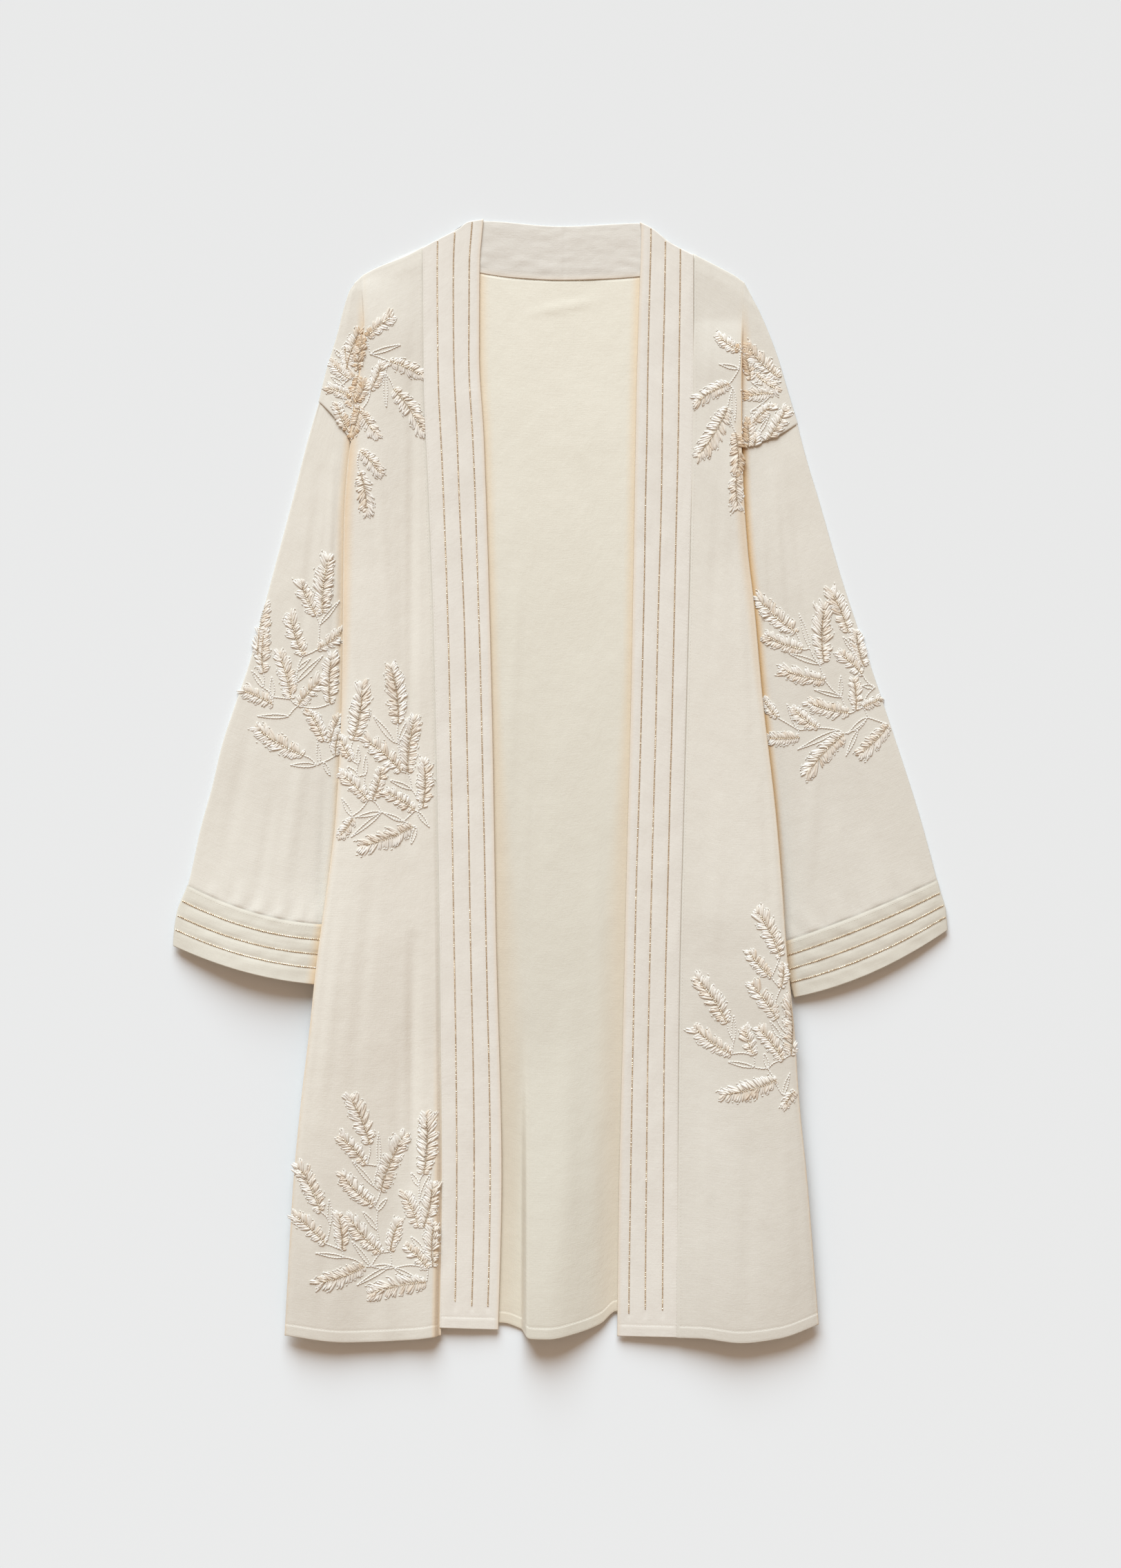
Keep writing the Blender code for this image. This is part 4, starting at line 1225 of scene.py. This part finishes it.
def math_node(tree, operation, first, second=None):
    node = tree.nodes.new("ShaderNodeMath")
    node.operation = operation
    for socket, value in zip(node.inputs, (first, second)):
        feed(tree, socket, value)
    return node.outputs[0]


def plus(tree, first, second):
    return math_node(tree, "ADD", first, second)


def times(tree, first, second):
    return math_node(tree, "MULTIPLY", first, second)


def held(tree, value, top):
    """A value kept between 0 and top."""
    return math_node(tree, "MAXIMUM", math_node(tree, "MINIMUM", value, top), 0.0)


def noise_node(tree, vector, scale, detail=2.0, roughness=.5):
    node = fed_node(tree, "TexNoise", Vector=vector, Scale=scale, Detail=detail, Roughness=roughness)
    return node.outputs["Fac"]


def stretched(tree, vector, scale):
    return fed_node(tree, "Mapping", Vector=vector, Scale=scale).outputs["Vector"]


def parted(tree, vector):
    """The X, Y and Z of a vector."""
    return fed_node(tree, "SeparateXYZ", Vector=vector).outputs


def flat_place(tree, layer):
    """The place on a piece as it is laid out flat."""
    node = tree.nodes.new("ShaderNodeUVMap")
    node.uv_map = layer
    return node.outputs["UV"]


def own_place(tree):
    return tree.nodes.new("ShaderNodeTexCoord").outputs["Object"]


SLUB_SCALES = ((45, 1100, 1), (1100, 45, 1), (420, 1500, 1), (1500, 420, 1))


def weave_group():
    """Plain weave from the cloth's own UV map: thread height, and the tone of slubs and threads."""
    tree, given, result = node_group("plain weave", (("Threads", 2800.0), ("Slubs", 1.0)), ("Height", "Tone"))
    place = flat_place(tree, "cloth")
    waver = noise_node(tree, place, 260, 1)
    threads = []
    for part in parted(tree, place)[:2]:
        turns = plus(tree, times(tree, part, given.outputs["Threads"]), waver)
        threads.append(math_node(tree, "SINE", times(tree, turns, math.pi)))
    height = times(tree, *threads)
    slubs = [noise_node(tree, stretched(tree, place, scale), 1, 2, .6) for scale in SLUB_SCALES]
    slub = plus(tree, plus(tree, *slubs[:2]), plus(tree, *slubs[2:]))
    slub = times(tree, math_node(tree, "SUBTRACT", slub, 2.0), given.outputs["Slubs"])
    for label, share in (("Height", .12), ("Tone", .05)):
        feed(tree, result.inputs[label], plus(tree, times(tree, height, share), slub))
    return tree


def colour_mix(tree, share, first, second):
    """Mixes two colours, each a socket or a tuple, by a share."""
    node = tree.nodes.new("ShaderNodeMix")
    node.data_type = "RGBA"
    feed(tree, node.inputs["Factor"], share)
    colours = [socket for socket in node.inputs if socket.type == "RGBA"]
    for socket, value in zip(colours, (first, second)):
        feed(tree, socket, value)
    return next(socket for socket in node.outputs if socket.type == "RGBA")


def attribute(tree, name):
    node = tree.nodes.new("ShaderNodeAttribute")
    node.attribute_name = name
    return node.outputs["Fac"]


def new_material(name, values):
    made = bpy.data.materials.new(name)
    made.use_nodes = True
    shader = made.node_tree.nodes["Principled BSDF"]
    for label, value in values.items():
        shader.inputs[label].default_value = value
    return made, made.node_tree, shader


def bumped(tree, shader, height, distance, strength, under=None):
    node = fed_node(tree, "Bump", Distance=distance, Strength=strength, Height=height, Normal=under)
    feed(tree, shader.inputs["Normal"], node.outputs["Normal"])
    return node.outputs["Normal"]


# Colour of the warm light painted into shaded folds and creases of the cloth
PAINTED_GLOW_COLOUR = (.80, .51, .22)


def linen(name, weave, colour, deep, painted_warmth=.8):
    """Plain-woven linen and cotton: weave, slubs, soft rumples, warm light painted into its shaded folds, and
    light and shade painted up each piece.
    """
    made, tree, shader = new_material(name, {"Roughness": .88, "Sheen Weight": .12, "Sheen Roughness": .5,
                                             "Specular IOR Level": .25})
    cloth = tree.nodes.new("ShaderNodeGroup")
    cloth.node_tree = weave
    place = flat_place(tree, "cloth")
    tone = plus(tree, times(tree, cloth.outputs["Tone"], .5), noise_node(tree, place, 7, 3, .55))
    body = colour_mix(tree, held(tree, tone, 1.0), deep, colour)
    # Warm light painted where the cloth lies in folds and in the shade of other cloth
    with_painted_glow = colour_mix(tree, times(tree, attribute(tree, "painted_glow"), painted_warmth), body, PAINTED_GLOW_COLOUR)
    # Light and shade painted up each piece, as a share of its full tone
    lit = tree.nodes.new("ShaderNodeVectorMath")
    lit.operation = "SCALE"
    feed(tree, lit.inputs[0], with_painted_glow)
    feed(tree, lit.inputs["Scale"], attribute(tree, "light"))
    feed(tree, shader.inputs["Base Color"], lit.outputs[0])
    rumple = noise_node(tree, stretched(tree, place, (70, 45, 1)), 1, 4, .6)
    soft = bumped(tree, shader, rumple, .0009, .55)
    bumped(tree, shader, cloth.outputs["Height"], .00022, .36, soft)
    return made


STRANDS = 12
STRAND_DEPTH = .0001


def silk(name):
    """Glossy embroidery thread: fine strands along each loop, from white to tan by its tone, which carries
    shade painted on one side of a leaf and in the fold, with shade painted at each loop's root.
    """
    made, tree, shader = new_material(name, {"Roughness": .34, "Sheen Weight": .4, "Sheen Roughness": .4,
                                             "Specular IOR Level": .5})
    across, along, _ = parted(tree, flat_place(tree, "thread"))
    strands = math_node(tree, "SINE", times(tree, across, math.tau * STRANDS))
    tone = held(tree, plus(tree, attribute(tree, "tone"), times(tree, strands, .07)), 1.4)
    pale = colour_mix(tree, math_node(tree, "MINIMUM", tone, 1.0), (.915, .875, .80), (.865, .80, .70))
    # Painted shade: a high tone turns the thread deep brown, on a leaf's shaded side and in the fold
    deep = math_node(tree, "MAXIMUM", math_node(tree, "SUBTRACT", tone, .65), 0.0)
    body = colour_mix(tree, deep, pale, (.58, .35, .14))
    # Painted shade at each loop's root, where it meets the midrib, for all but the white thread
    root = math_node(tree, "MAXIMUM", math_node(tree, "SUBTRACT", .95, times(tree, along, 1.5)), 0.0)
    coloured = held(tree, plus(tree, attribute(tree, "tone"), 1.0), 1.0)
    rooted = colour_mix(tree, times(tree, root, coloured), body, (.74, .63, .49))
    feed(tree, shader.inputs["Base Color"], rooted)
    bumped(tree, shader, strands, STRAND_DEPTH, .35)
    return made


def speckled(name, values, colour, dark, bright, grain, relief=None):
    """A finish of small things, whose colour shifts between a dark and a bright share of its own."""
    made, tree, shader = new_material(name, values)
    patches = noise_node(tree, own_place(tree), grain, 1)
    tones = [tuple(min(1.0, value * share) for value in colour) for share in (dark, bright)]
    feed(tree, shader.inputs["Base Color"], colour_mix(tree, patches, *tones))
    if relief:
        bumped(tree, shader, patches, STRAND_DEPTH, relief)
    return made


# Making the garment

def settle(piece, slot, *nodes):
    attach(piece, "root")
    if nodes:
        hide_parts(*nodes)
    return piece


weave = weave_group()
outside = linen("linen", weave, (.825, .78, .69), (.755, .705, .61), .9)
inside = linen("linen inside", weave, (.815, .775, .665), (.755, .71, .595))
banding = linen("band linen", weave, (.85, .805, .725), (.785, .735, .65))
cuffing = linen("cuff linen", weave, (.745, .70, .60), (.675, .63, .53))
silk_thread = silk("silk thread")
gold = speckled("gold beads", {"Roughness": .4, "Metallic": 1.0}, (.88, .70, .53), .72, 1.25, 700)
sewing = speckled("sewing thread", {"Roughness": .8}, (.82, .77, .68), .85, 1.0, 900, .5)


def dressed(node, patches, finish, slot, wall=None):
    """The finer cloth that takes the place of one solid."""
    return settle(cloth_shell(node + "_cloth", patches, finish, wall), slot, node)


pieces = {"back": dressed("back", back_patches(), inside, "linen", WALL)}
for side in SIDES:
    front, sleeve, cuff, band = (part + side["name"] for part in ("front_", "sleeve_", "cuff_", "band_"))
    pieces[front] = dressed(front, front_patches(side), outside, "linen", WALL)
    pieces[sleeve] = dressed(sleeve, sleeve_patches(side), outside, "linen", WALL)
    pieces[cuff] = dressed(cuff, cuff_patches(side), cuffing, "band_linen")
    pieces[band] = dressed(band, band_patches(side), banding, "band_linen")
pieces["neck_band"] = dressed("neck_band", neck_patches(), banding, "band_linen")

bpy.context.view_layer.update()
grounds = {name: Ground(piece, name.startswith("sleeve_")) for name, piece in pieces.items()}
dice = random.Random(11)

leaf_heap = Heap()
for name, spray in SPRAYS.items():
    kind, hand = name.split("_")
    ground = grounds[("sleeve_" if kind == "sleeve" else "front_") + hand]
    made = embroider(spray, ground, dice, leaf_heap).piece("embroidery_" + name, silk_thread)
    settle(made, "silk_thread", "spray_" + name)
settle(leaf_heap.piece("leaf_beads", gold, smooth=False), "gold_trim")

for side in SIDES:
    chain = Heap()
    for k, share in enumerate(BAND_LINES):
        points = []
        for line in ladder(.005, (.9985, .004)):
            y = band_plan(side, share, line)[1]
            point = Vector(band_plan(side, band_line(share, k, y), line))
            if point.y > side["chain_end"] + 3 * k:
                points.append(point)
        run_of_beads(chain, grounds["band_" + side["name"]], points, dice)
    for share in CUFF_LINES:
        down = side["cuff"] + (1 - side["cuff"]) * share
        points = [Vector(sleeve_plan(side, down, along)) for along in ladder(.003, (.997, .02))]
        points = [point for point in points if abs(point.x) > read(side["edge"], point.y) - 3]
        run_of_beads(chain, grounds["cuff_" + side["name"]], points, dice)
    settle(chain.piece("bead_chain_" + side["name"], gold, smooth=False), "gold_trim")

# Stitches beside the band seams, along the hems and beside the cuff seams
HEM_STITCHES = HEM_WIDTH / PANEL_LENGTH
stitches = Heap()
for side in SIDES:
    front, band, cuff = (grounds[part + side["name"]] for part in ("front_", "band_", "cuff_"))
    heights = [front_plan(side, 0, line)[1] for line in ladder(.004, (.997, .01))]
    for ground, off in ((front, 2.4), (band, -1.7)):
        points = [Vector((side["sign"] * (read(side["seam"], y) + off), y)) for y in heights]
        run_of_stitches(stitches, ground, points, 3.2, 2.1, .3)
    down = side["cuff"] + 3.2 / sleeve_length(side)
    for ground, plan, shares in (
            (front, lambda share: front_plan(side, share, HEM_STITCHES), ladder(.03, (.99, .03))),
            (band, lambda share: band_plan(side, share, HEM_STITCHES), ladder(.03, (.97, .1))),
            (cuff, lambda share: sleeve_plan(side, down, share), ladder(.02, (.98, .03)))):
        run_of_stitches(stitches, ground, [Vector(plan(share)) for share in shares])
points = [Vector(back_plan(share, HEM_STITCHES)) for share in ladder(-.24, (.24, .01))]
run_of_stitches(stitches, grounds["back"], points)
settle(stitches.piece("stitches", sewing), "sewing_thread")


# What shows of each sheet as it was cut, all round on a tube: width and length in metres, area, and what
# lies under it
CUTS = {
    "back": (.517, 1.05, .428, ["floor"]),
    "front_left": (.2, 1.05, .114, ["back"]),
    "front_right": (.19, 1.05, .096, ["back"]),
    "sleeve_left": (.3, .46, .094, ["floor"]),
    "sleeve_right": (.32, .46, .105, ["floor"]),
    "cuff_left": (.31, .116, .035, ["floor"]),
    "cuff_right": (.31, .116, .035, ["floor"]),
    "band_left": (.056, 1.045, .057, ["back"]),
    "band_right": (.055, 1.045, .056, ["back"]),
    "neck_band": (.23, .05, .01, ["floor"]),
}


# A cool soft key from beyond the neck, and a warm pale room: light on a level floor, in each colour
KEY_PLACE = Vector((-3.2, 20.5, 12.9))
KEY_SIZE = 18.7
KEY_LIGHT = (.66, .76, .84)
ROOM_LIGHT = (.38, .275, .20)
FLOOR_TONE = (.893, .908, .915)


def floor_colour(y):
    """Keeps the floor even in tone, though the key falls off along it."""
    falloff = (KEY_PLACE.length / (KEY_PLACE - Vector((0, y, 0))).length) ** 3
    return tuple(tone / (key * falloff + room) for tone, key, room in zip(FLOOR_TONE, KEY_LIGHT, ROOM_LIGHT))


def stage_floor():
    bm = bmesh.new()
    bmesh.ops.create_grid(bm, x_segments=1, y_segments=1, size=6)
    bmesh.ops.translate(bm, verts=bm.verts, vec=(0, 0, -.0004))
    made, tree, shader = new_material("pale floor", {"Roughness": .95, "Specular IOR Level": 0})
    share = plus(tree, times(tree, parted(tree, own_place(tree))["Y"], .5), .5)
    feed(tree, shader.inputs["Base Color"], colour_mix(tree, share, floor_colour(-1), floor_colour(1)))
    new_piece("floor", bm, made)


stage_floor()
for name, (width, length, area, under) in CUTS.items():
    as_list(under)

# Camera straight above, framed as the photograph is: 1624 by 2272 pixels of 0.65 mm on the cloth
PIXEL = .65 * MM
FRAME_HEIGHT = 2272
LENS, SENSOR = 85, 36
camera = bpy.data.objects.new("camera", bpy.data.cameras.new("camera"))
camera.data.lens = LENS
camera.data.sensor_width = SENSOR
camera.location = (0, -6 * PIXEL, .005 + FRAME_HEIGHT * PIXEL * LENS / SENSOR)
bpy.context.scene.collection.objects.link(camera)
bpy.context.scene.camera = camera

key = bpy.data.lights.new("key", "AREA")
key.shape = "DISK"
key.size = KEY_SIZE
strength = max(KEY_LIGHT)
key.energy = strength * (math.pi * KEY_PLACE.length) ** 2 * KEY_PLACE.length / KEY_PLACE.z
key.color = tuple(value / strength for value in KEY_LIGHT)
key_object = bpy.data.objects.new("key", key)
key_object.location = KEY_PLACE
key_object.rotation_euler = (-KEY_PLACE).to_track_quat("-Z", "Y").to_euler()
bpy.context.scene.collection.objects.link(key_object)
world = bpy.data.worlds.new("room")
world.use_nodes = True
world.node_tree.nodes["Background"].inputs["Color"].default_value = (*ROOM_LIGHT, 1)
bpy.context.scene.world = world
bpy.context.scene.view_settings.view_transform = "Standard"
